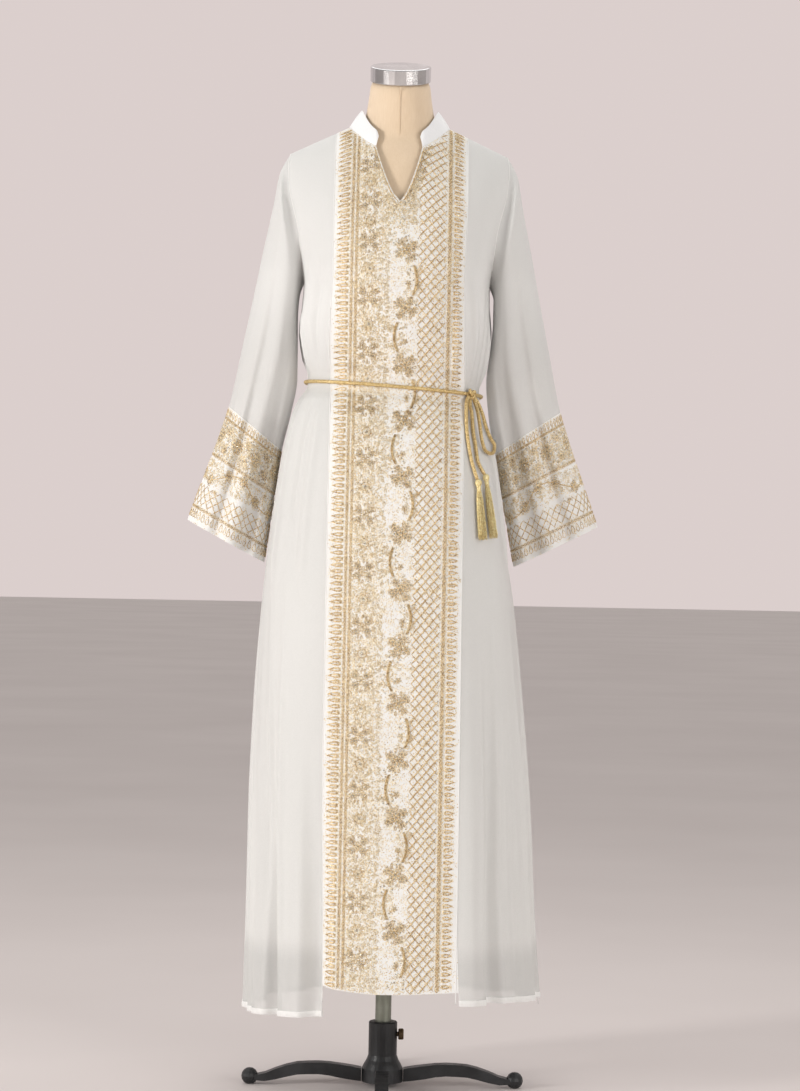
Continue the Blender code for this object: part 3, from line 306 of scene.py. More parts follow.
# Neck of the form: the middle and the size of each ring, which leans forward by tilt degrees
NECK = table(
    "z y side depth tilt",
    (1.500, 0.010, 0.070, 0.060, 0),
    (1.560, 0.006, 0.0645, 0.056, 3),
    (1.600, 0.001, 0.0565, 0.0525, 8),
    (1.636, -0.006, 0.0510, 0.0500, 13),
    (1.6555, -0.0095, 0.0495, 0.0495, 17),
)
# Routes on the skirt: across and up in the front view, and how far the cord's middle is off the
# cloth. Each starts at the knot, the loop ends there, and a tail ends at its tassel.
TAIL_LEFT = table(
    "row x level out",
    (1, 0.1120, 1.1150, 0.0070),
    (2, 0.1150, 1.0850, 0.0042),
    (3, 0.1192, 1.0550, 0.0038),
    (4, 0.1245, 1.0270, 0.0046),
)
TAIL_RIGHT = table(
    "row x level out",
    (1, 0.1210, 1.1130, 0.0066),
    (2, 0.1250, 1.0850, 0.0042),
    (3, 0.1292, 1.0610, 0.0040),
    (4, 0.1330, 1.0330, 0.0046),
)
LOOP = table(
    "row x level out",
    (1, 0.1375, 1.1150, 0.0070),
    (2, 0.1440, 1.0960, 0.0055),
    (3, 0.1520, 1.0790, 0.0045),
    (4, 0.1585, 1.0600, 0.0045),
    (5, 0.1545, 1.0480, 0.0045),
    (6, 0.1450, 1.0500, 0.0060),
    (7, 0.1365, 1.0660, 0.0085),
    (8, 0.1320, 1.0870, 0.0100),
    (9, 0.1285, 1.1070, 0.0110),
)
# Ways out of the knot: across, up and away from the cloth
KNOT_EXITS = {
    "tail_left": (-0.83, -0.56, 0.0),
    "tail_right": (-0.34, -0.94, 0.0),
    "loop_start": (0.83, -0.56, 0.0),
    "loop_end": (0.30, -0.90, 0.30),
}
# Tassels: across, up and off the cloth, of the head and of the strands' ends
TASSELS = {
    "left": ((0.1325, 0.9955, 0.0075), (0.1420, 0.9020, 0.0072)),
    "right": ((0.1440, 1.0050, 0.0080), (0.1590, 0.9050, 0.0072)),
}
TASSEL_HEAD = 0.0062


# Curves through tables


def smooth(rows, column, at):
    """A table's column read as a curve that passes through every row and bulges past none."""
    xs, ys = next(iter(rows.values())), rows[column]
    steps = np.diff(xs)
    slopes = np.diff(ys) / steps
    before, after = slopes[:-1], slopes[1:]
    total = np.where(before * after > 0, before + after, 1.0)
    inner = np.where(before * after > 0, 2 * before * after / total, 0.0)
    ends = np.concatenate([slopes[:1], inner, slopes[-1:]])
    at = np.clip(at, xs[0], xs[-1])
    i = np.clip(np.searchsorted(xs, at, side="right") - 1, 0, len(steps) - 1)
    t = (at - xs[i]) / steps[i]
    return (
        (1 + 2 * t) * (1 - t) ** 2 * ys[i]
        + t * (1 - t) ** 2 * steps[i] * ends[i]
        + t * t * (3 - 2 * t) * ys[i + 1]
        - t * t * (1 - t) * steps[i] * ends[i + 1]
    )


def ramp(at, start, full):
    """0 at start, 1 at full, and smooth between them."""
    t = np.clip((at - start) / (full - start), 0, 1)
    return t * t * (3 - 2 * t)


def bell(angle, middle, width):
    """1 where the angle is middle, fading over width degrees either side."""
    off = (angle - middle + 180) % 360 - 180
    return np.exp(-((off / width) ** 2))


# Surface of the garment's body


def stronger(creases):
    """The creases' rows with their depths times the gain for their direction."""
    rows = []
    for *shape, depth, top, full, end in zip(*creases.values()):
        rows.append((*shape, depth * CREASE_GAIN["out" if depth > 0 else "in"], top, full, end))
    return rows


def fold_depth(turn, level):
    """How far the cloth stands out from its smooth ring, by its folds and creases."""
    total = np.zeros(np.broadcast(turn, level).shape)
    for low, high, width, depth, top, full, end in [*zip(*FOLDS.values()), *stronger(CREASES)]:
        middle = (low + high) / 2
        reach = CREASE_REACH * width + abs(high - low) / 2
        if (np.abs((turn - middle + 180) % 360 - 180) > reach).all():
            continue
        along = np.clip((level - full) / (top - full), 0, 1)
        grown = ramp(level, top, full) * ramp(level, end, end + min(FOLD_END_FADE, (full - end) / 2))
        total = total + depth * grown * bell(turn, low + (high - low) * along, width)
    return total


def armhole_x(lift):
    return smooth(ARMHOLE, "x", lift)


def lift_of(level):
    """0 at the armpit and 1 at the shoulder seam."""
    return np.clip((level - ARMPIT) / (RIDGE - ARMPIT), 0, 1)


def level_of(lift):
    return ARMPIT + (RIDGE - ARMPIT) * lift


def half_width(turn, level):
    lift = lift_of(level)
    low = np.where(turn < 0, smooth(BODY, "left", level), smooth(BODY, "right", level))
    high = armhole_x(lift) * (1 + ARMHOLE_FLARE * ramp(lift, 0, 0.40))
    return np.where(lift > 0, high, low)


def shoulder_z(x):
    return SHOULDER_TOP - SHOULDER_SLOPE * np.sqrt(x * x + SHOULDER_ROUND**2)


def dome(lift, roundness):
    """How much of the chest's or back's depth is left this far up to the shoulder seam."""
    return np.clip(1 - lift**roundness, 0, 1) ** (1 / roundness)


def rounded(turn):
    """Sine and cosine of the turn on a squarish ring."""
    s, c = np.sin(np.radians(turn)), np.cos(np.radians(turn))
    spread = (np.abs(s) ** BOXY + np.abs(c) ** BOXY) ** (1 / BOXY)
    return s / spread, c / spread


def body_point(turn, level, ease=0.0, folded=1.0):
    """Points of the garment's outside, or of a surface that lies ease inside it.

    turn is in degrees from the middle of the front, positive to the right. folded is the share
    of the folds' depth that the surface follows.
    """
    turn, level = np.broadcast_arrays(np.asarray(turn, float), np.asarray(level, float))
    turn = (turn + 180) % 360 - 180
    lift = lift_of(level)
    across, ahead = rounded(turn)
    side = half_width(turn, level) - ease
    front = (smooth(BODY, "front", level) - ease) * dome(lift, CHEST_ROUND)
    back = (smooth(BODY, "back", level) - ease) * dome(lift, BACK_ROUND)
    x = side * across
    y = -np.where(ahead > 0, front, back) * ahead
    z = np.where(lift > 0, ARMPIT + (shoulder_z(x) - ARMPIT) * lift, level)
    z = z - WAIST_SLOPE * across * np.exp(-(((level - WAIST) / WAIST_SPREAD) ** 2))
    depth = fold_depth(turn, level) * folded
    x = x + depth * np.sin(np.radians(turn))
    y = y - depth * np.cos(np.radians(turn))
    return np.stack([x, y, z], axis=-1)


def unit(vectors):
    return vectors / np.maximum(np.linalg.norm(vectors, axis=-1, keepdims=True), 1e-12)


def body_normal(turn, level, **how):
    step, rise = 0.05, 0.0002
    across = body_point(turn + step, level, **how) - body_point(turn - step, level, **how)
    up = body_point(turn, np.minimum(level + rise, RIDGE), **how) - body_point(turn, level - rise, **how)
    return unit(np.cross(across, up))


def turn_at(x, level, back=False):
    """The turn at which the body's ring of this level reaches x."""
    share = np.clip(np.abs(x) / half_width(np.sign(x), level), 0, 1) ** BOXY
    turn = np.degrees(np.arctan2(share ** (1 / BOXY), (1 - share) ** (1 / BOXY)))
    return np.sign(x) * np.where(back, 180 - turn, turn)


def edge_turn(level):
    """The turn of the side seam or, above the armpit, of the armhole's front edge."""
    return np.where(level > ARMPIT, turn_at(armhole_x(lift_of(level)), level), 90.0)


def neck_lift(x, drop):
    """How far up to the shoulder seam the neckline lies."""
    return 1 - drop * np.clip(1 - (x / NECK_HALF) ** 2, 0, 1)


# Sleeves, as surfaces


def armhole_point(around, sign):
    """The armhole's edge on the body. around is 0 at the shoulder and 180 at the armpit."""
    level = level_of((1 + np.cos(np.radians(around))) / 2)
    turn = edge_turn(level)
    turn = np.where(np.sin(np.radians(around)) >= 0, turn, 180 - turn)
    return body_point(sign * turn, level), body_normal(sign * turn, level)


def sleeve_point(around, row, sign):
    """Points of a sleeve's outside. around is in degrees from its outer edge, over the front."""
    around, row = np.broadcast_arrays(np.asarray(around, float), np.asarray(row, float))
    column = {name: smooth(SLEEVE, name, row) for name in SLEEVE if name != "row"}
    inner_x = column["inner_left" if sign < 0 else "inner_right"]
    cos, sin = np.cos(np.radians(around)), np.sin(np.radians(around))
    outer_x, outer_z, inner_z = column["outer_x"], column["outer_z"], column["inner_z"]
    middle_x, reach_x = (outer_x + inner_x) / 2, (outer_x - inner_x) / 2
    middle_z, reach_z = (outer_z + inner_z) / 2, (outer_z - inner_z) / 2
    x, z = sign * (middle_x + reach_x * cos), middle_z + reach_z * cos
    oval = np.stack([x, column["middle_y"] - column["half_depth"] * sin, z], axis=-1)
    first = SLEEVE["outer_x"][0], ARMHOLE["x"][0], SLEEVE["outer_z"][0], ARMPIT
    chord_x = sign * ((first[0] + first[1]) / 2 + (first[0] - first[1]) / 2 * cos)
    chord = np.stack([chord_x, 0 * cos, (first[2] + first[3]) / 2 + (first[2] - first[3]) / 2 * cos], axis=-1)
    edge = armhole_point(around, sign)[0] - chord
    carried = np.stack([x, 0 * x, z], axis=-1) + edge
    blend = ramp(row, 0, SLEEVE_BLEND)[..., None]
    points = carried * (1 - blend) + oval * blend
    depth = np.zeros(row.shape)
    for middle, width, out, start in zip(*SLEEVE_FOLDS.values()):
        depth = depth + out * bell(around, middle, width) * ramp(row, start, SLEEVE_END)
    points[..., 1] -= depth * np.sign(sin)
    return points


def sleeve_normal(around, row, sign):
    step, rise = 0.5, 0.01
    across = sleeve_point(around + step, row, sign) - sleeve_point(around - step, row, sign)
    below, above = np.minimum(row + rise, SLEEVE_END), np.maximum(row - rise, 0)
    along = sleeve_point(around, below, sign) - sleeve_point(around, above, sign)
    return unit(np.cross(across, along)) * sign


# Cords' routes


def on_body(turn, level, out):
    """A point this far outside the garment's body."""
    return body_point(turn, level) + body_normal(turn, level) * out


def even_line(points, count):
    """count points evenly spaced along a smooth curve through these ones."""
    points = np.asarray(points, float)
    steps = np.linalg.norm(np.diff(points, axis=0), axis=1)
    route = {"along": np.concatenate([[0], np.cumsum(steps)])}
    for k, name in enumerate("xyz"):
        route[name] = points[:, k]
    fine = np.linspace(0, route["along"][-1], 400)
    curve = np.stack([smooth(route, name, fine) for name in "xyz"], axis=-1)
    run = np.concatenate([[0], np.cumsum(np.linalg.norm(np.diff(curve, axis=0), axis=1))])
    at = np.linspace(0, run[-1], count)
    return np.stack([np.interp(at, run, curve[:, k]) for k in range(3)], axis=-1)


def at_front(x, level, out):
    """A point this far outside the body's front."""
    return on_body(turn_at(np.asarray(x, float), np.asarray(level, float)), level, out)


def knot_frame():
    """The knot's centre, and its directions across, up and away from the cloth."""
    at = np.array(KNOT_TURN), np.array(WAIST)
    out = body_normal(*at)
    right = unit(np.cross((0.0, 0.0, 1.0), out))
    return on_body(*at, KNOT_SIZE[1] + CORD_GAP), np.stack([right, np.cross(out, right), out])


def knot_exit(name):
    """The first two points of a cord that leaves the knot."""
    centre, axes = knot_frame()
    way = unit(np.array(KNOT_EXITS[name]))
    surface = 1 / math.hypot(way[0] / KNOT_SIZE[0], way[1] / KNOT_SIZE[0], way[2] / KNOT_SIZE[1])
    start = surface + KNOT_EXIT_GAP
    return [centre + way @ axes * reach for reach in (start, start + KNOT_LEAD)]


def on_skirt(route):
    return [at_front(*row) for row in zip(route["x"], route["level"], route["out"])]


def tail_points(route, side):
    head = at_front(*TASSELS[side][0])
    points = [*knot_exit("tail_" + side), *on_skirt(route)]
    return even_line([*points, head + unit(points[-1] - head) * (TASSEL_HEAD + SEAM)], 12)


# Materials. Every texture is read in the object's own metres.


class Shading:
    """A material's nodes, added one at a time."""

    def __init__(self, name, roughness, metallic=0.0, **fixed):
        self.material = bpy.data.materials.new(name)
        self.material.use_nodes = True
        self.tree = self.material.node_tree
        self.shader = self.tree.nodes["Principled BSDF"]
        self.place = self.add("ShaderNodeTexCoord").outputs["Object"]
        self.set("Roughness", roughness)
        self.set("Metallic", metallic)
        for socket, value in fixed.items():
            self.set(socket.replace("_", " "), value)

    def add(self, kind, **settings):
        node = self.tree.nodes.new(kind)
        for key, value in settings.items():
            setattr(node, key, value)
        return node

    def set(self, socket, value):
        """Sets a socket of the shader to a number or a colour, or links it."""
        self.put(self.shader.inputs[socket], value)

    def put(self, socket, value):
        if isinstance(value, bpy.types.NodeSocket):
            self.tree.links.new(value, socket)
        elif isinstance(value, tuple) and len(socket.default_value) == 4:
            socket.default_value = (*value, 1.0)
        else:
            socket.default_value = value

    def stretched(self, scale):
        mapping = self.add("ShaderNodeMapping")
        self.put(mapping.inputs["Vector"], self.place)
        self.put(mapping.inputs["Scale"], scale)
        return mapping.outputs["Vector"]

    def noise(self, scale, detail=3.0):
        """Noise at this many grains a metre along X, Y and Z."""
        node = self.add("ShaderNodeTexNoise")
        self.put(node.inputs["Vector"], self.stretched(scale))
        self.put(node.inputs["Scale"], 1.0)
        self.put(node.inputs["Detail"], detail)
        self.put(node.inputs["Roughness"], 0.55)
        return node.outputs["Fac"]

    def cells(self, scale):
        """The cells of a Voronoi pattern at this many a metre along X, Y and Z."""
        node = self.add("ShaderNodeTexVoronoi")
        self.put(node.inputs["Vector"], self.stretched(scale))
        self.put(node.inputs["Scale"], 1.0)
        return node

    def math(self, operation, a, b=0.0, c=0.0):
        node = self.add("ShaderNodeMath", operation=operation)
        for socket, value in zip(node.inputs, (a, b, c)):
            self.put(socket, value)
        return node.outputs[0]

    def ramp(self, value, *stops):
        """A colour or a grey for each stop of (place, colour)."""
        node = self.add("ShaderNodeValToRGB")
        self.put(node.inputs[0], value)
        points = node.color_ramp.elements
        while len(points) < len(stops):
            points.new(0.5)
        for point, (at, colour) in zip(points, stops):
            point.position = at
            point.color = (*colour, 1) if isinstance(colour, tuple) else (colour, colour, colour, 1)
        return node.outputs["Color"]

    def between(self, value, low, high, start, end):
        """start where the value is low, end where it is high, and smooth between them."""
        node = self.add("ShaderNodeMapRange", interpolation_type="SMOOTHSTEP")
        for socket, setting in zip(node.inputs, (value, low, high, start, end)):
            self.put(socket, setting)
        return node.outputs[0]

    def height(self, axis):
        """The place along one axis."""
        node = self.add("ShaderNodeSeparateXYZ")
        self.put(node.inputs[0], self.place)
        return node.outputs[axis]

    def bump(self, value, depth, strength=1.0):
        node = self.add("ShaderNodeBump")
        self.put(node.inputs["Height"], value)
        self.put(node.inputs["Distance"], depth)
        self.put(node.inputs["Strength"], strength)
        self.set("Normal", node.outputs["Normal"])
        return self.material


def weave(shading, threads):
    """Height of a plain weave with this many threads a metre."""
    across = shading.math("SINE", shading.math("MULTIPLY", shading.height("X"), threads * 2 * math.pi))
    up = shading.math("SINE", shading.math("MULTIPLY", shading.height("Z"), threads * 2 * math.pi))
    return shading.math("MULTIPLY", across, up)


# How white sheer cloth is, by height: greyer below the lining's hem and above its top. The grey is painted
# shade, standing in for the shadowed inside of the garment seen through the cloth.
CHIFFON_PAINTED_SHADE = ((0.228, 0.76), (0.256, 0.88), (1.10, 0.88), (1.36, 0.72))
SHADES_REACH = 2.0  # a height above the whole garment


def chiffon(name, sheer, dense, from_level, rise):
    """Sheer crepe that turns denser above a level, greyed by height with painted shade."""
    made = Shading(name, 0.78, Sheen_Weight=0.25, Sheen_Roughness=0.45)
    cloudy = made.noise((6, 6, 2.5), 4.0)
    crepe = made.noise((900, 900, 900), 2.0)
    tint = made.math("MULTIPLY_ADD", crepe, 0.25, made.math("MULTIPLY", cloudy, 0.75))
    density = made.between(made.height("Z"), from_level, from_level + rise, sheer, dense)
    share = made.math("DIVIDE", made.height("Z"), SHADES_REACH)
    # Painted shade: the cloth's colour is darkened below the lining's hem and above its top
    painted_shade = made.ramp(share, *((z / SHADES_REACH, grey) for z, grey in CHIFFON_PAINTED_SHADE))
    whiteness = made.math("MULTIPLY", painted_shade, made.math("MULTIPLY_ADD", tint, 0.10, 0.94))
    made.set("Base Color", made.ramp(whiteness, (0.0, (0.0, 0.0, 0.0)), (1.0, (1.0, 0.995, 0.975))))
    made.set("Alpha", made.math("ADD", density, made.math("MULTIPLY_ADD", crepe, 0.10, -0.05)))
    made.set("Roughness", made.ramp(crepe, (0.3, 0.70), (0.7, 0.86)))
    wrinkles = made.math("MULTIPLY", made.noise((38, 38, 2.6), 3.0), 4.0)
    fine = made.math("ADD", crepe, made.noise((80, 80, 9), 3.0))
    return made.bump(made.math("ADD", fine, wrinkles), 0.0007, 0.45)


def plain_cloth(name, low, high, threads, roughness, depth=0.00025, **fixed):
    """Woven cloth whose colour wanders between two shades."""
    made = Shading(name, roughness, **fixed)
    cloudy = made.noise((9, 9, 5), 4.0)
    slub = made.noise((500, 500, 60), 2.0)
    tint = made.math("MULTIPLY_ADD", slub, 0.45, made.math("MULTIPLY", cloudy, 0.55))
    made.set("Base Color", made.ramp(tint, (0.3, low), (0.7, high)))
    made.set("Roughness", made.ramp(slub, (0.3, roughness - 0.06), (0.7, roughness + 0.06)))
    return made.bump(made.math("ADD", weave(made, threads), slub), depth, 0.5)


def metallic_thread(name, dark, mid, light, grain, metallic=0.55, roughness=0.34):
    """Gold thread whose stitches each get their own colour from dark to light: partly the thread's own uneven
    tone, partly painted highlights and painted shade standing in for glitter.
    """
    made = Shading(name, roughness, metallic, Specular_IOR_Level=0.6)
    stitch = made.cells((grain, grain, grain))
    drift = made.noise((35, 35, 35), 3.0)
    made.put(made.add("ShaderNodeSeparateColor").inputs[0], stitch.outputs["Color"])
    split = made.tree.nodes[-1]
    tint = made.math("MULTIPLY_ADD", split.outputs[0], 0.75, made.math("MULTIPLY", drift, 0.3))
    # Painted highlights and shade: each stitch's colour runs from dark to light, standing in for glints
    made.set("Base Color", made.ramp(tint, (0.08, dark), (0.45, mid), (0.92, light)))
    made.set("Roughness", made.ramp(split.outputs[1], (0.2, roughness - 0.12), (0.8, roughness + 0.16)))
    return made.bump(stitch.outputs["Distance"], 0.0005, 0.6)


def metal(name, low, high, roughness, metallic, grain, depth, scratch=(60, 60, 400)):
    """Metal or enamel with smudges in its gloss and fine unevenness in its surface."""
    made = Shading(name, roughness, metallic)
    smudge = made.noise((18, 18, 18), 5.0)
    fine = made.noise(scratch, 3.0)
    made.set("Base Color", made.ramp(smudge, (0.35, low), (0.65, high)))
    both = made.math("MULTIPLY_ADD", fine, 0.5, made.math("MULTIPLY", smudge, 0.5))
    made.set("Roughness", made.ramp(both, (0.3, roughness * 0.7), (0.7, min(1.0, roughness * 1.4))))
    return made.bump(made.noise((grain, grain, grain), 4.0), depth, 0.6)


# Share of the cloth that fine gold stitches cover, by x across the panel and by height on a cuff
PANEL_FILL = (
    (-0.101, 0.0), (-0.097, 0.20), (-0.078, 0.30), (-0.064, 0.46), (-0.022, 0.42), (-0.012, 0.30),
    (0.030, 0.28), (0.040, 0.20), (0.078, 0.26), (0.086, 0.55), (0.094, 0.26), (0.1075, 0.18), (0.110, 0.0),
)
CUFF_FILL = ((0.85, 0.05), (1.12, 0.12))
STITCH_SHADES = ((0.1, (0.52, 0.36, 0.17)), (0.45, (0.84, 0.68, 0.43)), (0.8, (0.97, 0.89, 0.70)))


def stitched_ground(name, fill, axis):
    """White cloth under a bed of fine gold stitches, thicker in some bands than in others."""
    made = Shading(name, 0.62)
    low, high = fill[0][0], fill[-1][0]
    share = made.add("ShaderNodeMapRange")
    for socket, value in zip(share.inputs, (made.height(axis), low, high)):
        made.put(socket, value)
    cover = made.ramp(share.outputs[0], *(((at - low) / (high - low), amount) for at, amount in fill))
    patches = made.noise((75, 75, 75), 2.0)
    gaps = made.math("MULTIPLY_ADD", patches, 1.1, -0.55)
    stitch = made.cells((900, 900, 900))
    split = made.add("ShaderNodeSeparateColor")
    made.put(split.inputs[0], stitch.outputs["Color"])
    covered = made.math("LESS_THAN", split.outputs[0], made.math("ADD", cover, gaps))
    white = made.ramp(made.noise((9, 9, 5), 4.0), (0.3, (0.86, 0.85, 0.83)), (0.7, (0.94, 0.93, 0.91)))
    thread = made.ramp(split.outputs[1], *STITCH_SHADES)
    mixed = made.add("ShaderNodeMix", data_type="RGBA")
    made.put(mixed.inputs["Factor"], covered)
    made.put(mixed.inputs[6], white)
    made.put(mixed.inputs[7], thread)
    made.set("Base Color", mixed.outputs[2])
    made.set("Roughness", made.math("MULTIPLY_ADD", covered, -0.26, 0.68))
    return made.bump(made.math("ADD", weave(made, 800), made.math("MULTIPLY", covered, 1.5)), 0.0003, 0.6)


COLLAR_WHITES = ((0.86, 0.87, 0.885), (0.95, 0.955, 0.965))
LINEN_BROWNS = ((0.74, 0.57, 0.39), (0.82, 0.66, 0.49))
# Dark, middle and light colour of each thread, then what metallic_thread asks for after them. The dark and
# light colours are partly painted shade and painted highlights between stitches, and for the stones painted
# reflections on their facets.
THREADS = {
    "gold": ((0.25, 0.14, 0.05), (0.66, 0.45, 0.21), (0.99, 0.84, 0.55), 620, 0.35, 0.34),
    "pale_gold": ((0.54, 0.38, 0.19), (0.90, 0.74, 0.48), (1.0, 0.94, 0.80), 700, 0.3, 0.34),
    "cord": ((0.26, 0.15, 0.04), (0.60, 0.42, 0.17), (0.90, 0.72, 0.38), 900, 0.35, 0.42),
    "tassel": ((0.48, 0.34, 0.12), (0.84, 0.67, 0.30), (0.98, 0.90, 0.56), 700, 0.3, 0.4),
    "stone": ((0.14, 0.11, 0.07), (0.50, 0.43, 0.31), (1.0, 0.96, 0.86), 950, 0.7, 0.18),
}
MATERIALS = {
    "chiffon": chiffon("chiffon", 0.52, 0.97, 1.10, 0.19),
    "sleeve_chiffon": chiffon("sleeve_chiffon", 0.50, 0.93, 1.12, 0.22),
    "lining": plain_cloth("lining", (0.86, 0.85, 0.835), (0.93, 0.92, 0.905), 900, 0.62, Sheen_Weight=0.2),
    "hem": plain_cloth("hem", (0.80, 0.79, 0.775), (0.88, 0.87, 0.855), 900, 0.72, Sheen_Weight=0.3),
    "ground": stitched_ground("ground", PANEL_FILL, "X"),
    "cuff_ground": stitched_ground("cuff_ground", CUFF_FILL, "Z"),
    "collar": plain_cloth("collar", *COLLAR_WHITES, 600, 0.7, 0.0003, Sheen_Weight=0.25),
    "linen": plain_cloth("linen", *LINEN_BROWNS, 420, 0.85, 0.0005, Sheen_Weight=0.3),
    **{name: metallic_thread(name, *look) for name, look in THREADS.items()},
    "chrome": metal("chrome", (0.62, 0.62, 0.63), (0.82, 0.82, 0.82), 0.14, 1.0, 300, 0.00015),
    "pole": metal("pole", (0.20, 0.21, 0.17), (0.32, 0.33, 0.28), 0.42, 0.8, 500, 0.0001, (60, 60, 900)),
    "iron": metal("iron", (0.010, 0.010, 0.011), (0.030, 0.030, 0.032), 0.42, 0.2, 160, 0.0006, (90, 90, 90)),
    "brass": metal("brass", (0.07, 0.045, 0.025), (0.16, 0.10, 0.05), 0.45, 0.6, 220, 0.0004),
}

# Making pieces

WALL_SHARP_ANGLE = 55  # degrees over which a wall's edge is drawn sharp


def piece(name, points, faces, finish, smooth_shade=True, angle=None):
    """A mesh object from arrays of points and faces. All of them ride on the form."""
    mesh = bpy.data.meshes.new(name)
    listed = [face.tolist() if isinstance(face, np.ndarray) else face for face in faces]
    flat = [corner for face in listed for corner in face]
    mesh.from_pydata(np.asarray(points, float).reshape(-1, 3).tolist(), [], flat)
    mesh.materials.append(MATERIALS[finish])
    if smooth_shade:
        mesh.shade_smooth()
    if angle:
        mesh.set_sharp_from_angle(angle=math.radians(angle))
    obj = bpy.data.objects.new(name, mesh)
    bpy.context.scene.collection.objects.link(obj)
    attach(obj, "form")
    return obj


def grid_faces(index, wrap=False):
    """Quads of a grid of point numbers, in rows from low to high and columns from left to right."""
    if wrap:
        index = np.concatenate([index, index[:, :1]], axis=1)
    corners = (index[:-1, :-1], index[:-1, 1:], index[1:, 1:], index[1:, :-1])
    return np.stack(corners, axis=-1).reshape(-1, 4)


def wall(name, outside, inside, quads, finish):
    """A closed wall between two matching sheets of points, with a rim along every open edge."""
    count = len(outside)
    ends = np.stack([quads, np.roll(quads, -1, axis=1)], axis=-1).reshape(-1, 2)
    forward = ends[:, 0] * count + ends[:, 1]
    alone = ends[~np.isin(ends[:, 1] * count + ends[:, 0], forward)]
    a, b = alone.T
    rims = np.stack([b, a, a + count, b + count], axis=-1)
    points = np.concatenate([outside, inside])
    return piece(name, points, [quads, quads[:, ::-1] + count, rims], finish, angle=WALL_SHARP_ANGLE)


def tube(points, across, up, sides):
    """Points and faces of a tube round a line, from its section's two directions at each point."""
    turn = np.linspace(0, 2 * math.pi, sides + 1)[:-1]
    ring = across[:, None] * np.cos(turn)[:, None] + up[:, None] * np.sin(turn)[:, None]
    index = np.arange(len(points) * sides).reshape(len(points), sides)
    faces = [grid_faces(index, wrap=True), [tuple(index[0][::-1])], [tuple(index[-1])]]
    return (points[:, None] + ring).reshape(-1, 3), faces


def joined(parts):
    """Several (points, faces) as one."""
    points, faces, start = [], [], 0
    for some, lists in parts:
        points.append(some)
        for face in lists:
            if isinstance(face, np.ndarray):
                faces.append(face + start)
            else:
                faces.append([tuple(corner + start for corner in one) for one in face])
        start += len(some)
    return np.concatenate(points), faces


# The robe's panels

SKIRT_ROWS = 9  # from the hem to this level, and then evenly to the armpit
SKIRT_LEVEL = 0.30
ROW_STEP = 0.022
UPPER_ROWS = 24


def lower_levels():
    steps = int((ARMPIT - SKIRT_LEVEL) / ROW_STEP)
    evenly = np.linspace(SKIRT_LEVEL, ARMPIT, steps + 1)[1:-1]
    waist = WAIST + np.array([-0.026, -0.018, -0.012, -0.006, 0, 0.006, 0.012, 0.020])
    return np.unique(np.concatenate([evenly, waist]))


def upper_lifts():
    return (1 - np.cos(np.linspace(0, math.pi, UPPER_ROWS + 1))) / 2


def hem_rows(turn, hem):
    """Levels of the rows from the hem up to SKIRT_LEVEL, for each column's hem. turn is not used."""
    share = np.linspace(0, 1, SKIRT_ROWS + 1)[:, None]
    return hem + (SKIRT_LEVEL - hem) * share


def body_wall(name, turn, level, thickness, finish):
    points = body_point(turn, level)
    inner = points - body_normal(turn, level) * thickness
    index = np.arange(turn.size).reshape(turn.shape)
    return wall(name, points.reshape(-1, 3), inner.reshape(-1, 3), grid_faces(index), finish)


def side_grid(sign, columns=84):
    """Turns and levels of a front panel beside the embroidered one."""
    levels = np.concatenate([lower_levels(), level_of(upper_lifts())])
    share = np.linspace(0, 1, columns)
    seam_x = PANEL_LEFT if sign < 0 else PANEL_RIGHT

    def turns(at):
        seam = turn_at(seam_x, at)
        return seam[:, None] + (sign * edge_turn(at) - seam)[:, None] * share

    upper = np.repeat(levels[:, None], columns, axis=1)
    low = np.full(SKIRT_ROWS + 1, SKIRT_LEVEL)
    low_turn = turns(low)
    low_level = hem_rows(low_turn, smooth(HEM, "z", low_turn[0]))
    turn, level = np.concatenate([low_turn, turns(levels)]), np.concatenate([low_level, upper])
    return (turn[:, ::-1], level[:, ::-1]) if sign < 0 else (turn, level)


def back_neckline(turn):
    """Levels of the back panel's top edge at these turns."""
    level = np.full(turn.shape, RIDGE)
    for _ in range(8):
        level = level_of(neck_lift(body_point(turn, level)[:, 0], NECK_DROP_BACK))
    return level


def back_grid(columns=171):
    levels = np.concatenate([lower_levels(), level_of(upper_lifts())])
    share = np.linspace(-1, 1, columns)
    turn = 180 - share * edge_turn(levels)[:, None]
    level = np.repeat(levels[:, None], columns, axis=1)
    start = level_of(np.array(NECK_START))
    grown = np.clip((levels - start) / (RIDGE - start), 0, 1)[:, None]
    top = back_neckline(180 - share * edge_turn(np.array(RIDGE)))
    level = np.where(grown > 0, start + (top - start) * grown, level)
    low_turn = np.repeat(180 - share[None] * 90, SKIRT_ROWS + 1, axis=0)
    low = hem_rows(low_turn, smooth(HEM, "z", (low_turn[0] + 180) % 360 - 180))
    return np.concatenate([low_turn, turn]), np.concatenate([low, level])


def slit_edge(grown, sign):
    """x of the neck slit's edge, from its foot at 0 to the collar at 1."""
    return SLIT_X + (sign * SLIT_HALF - SLIT_X) * grown**0.65


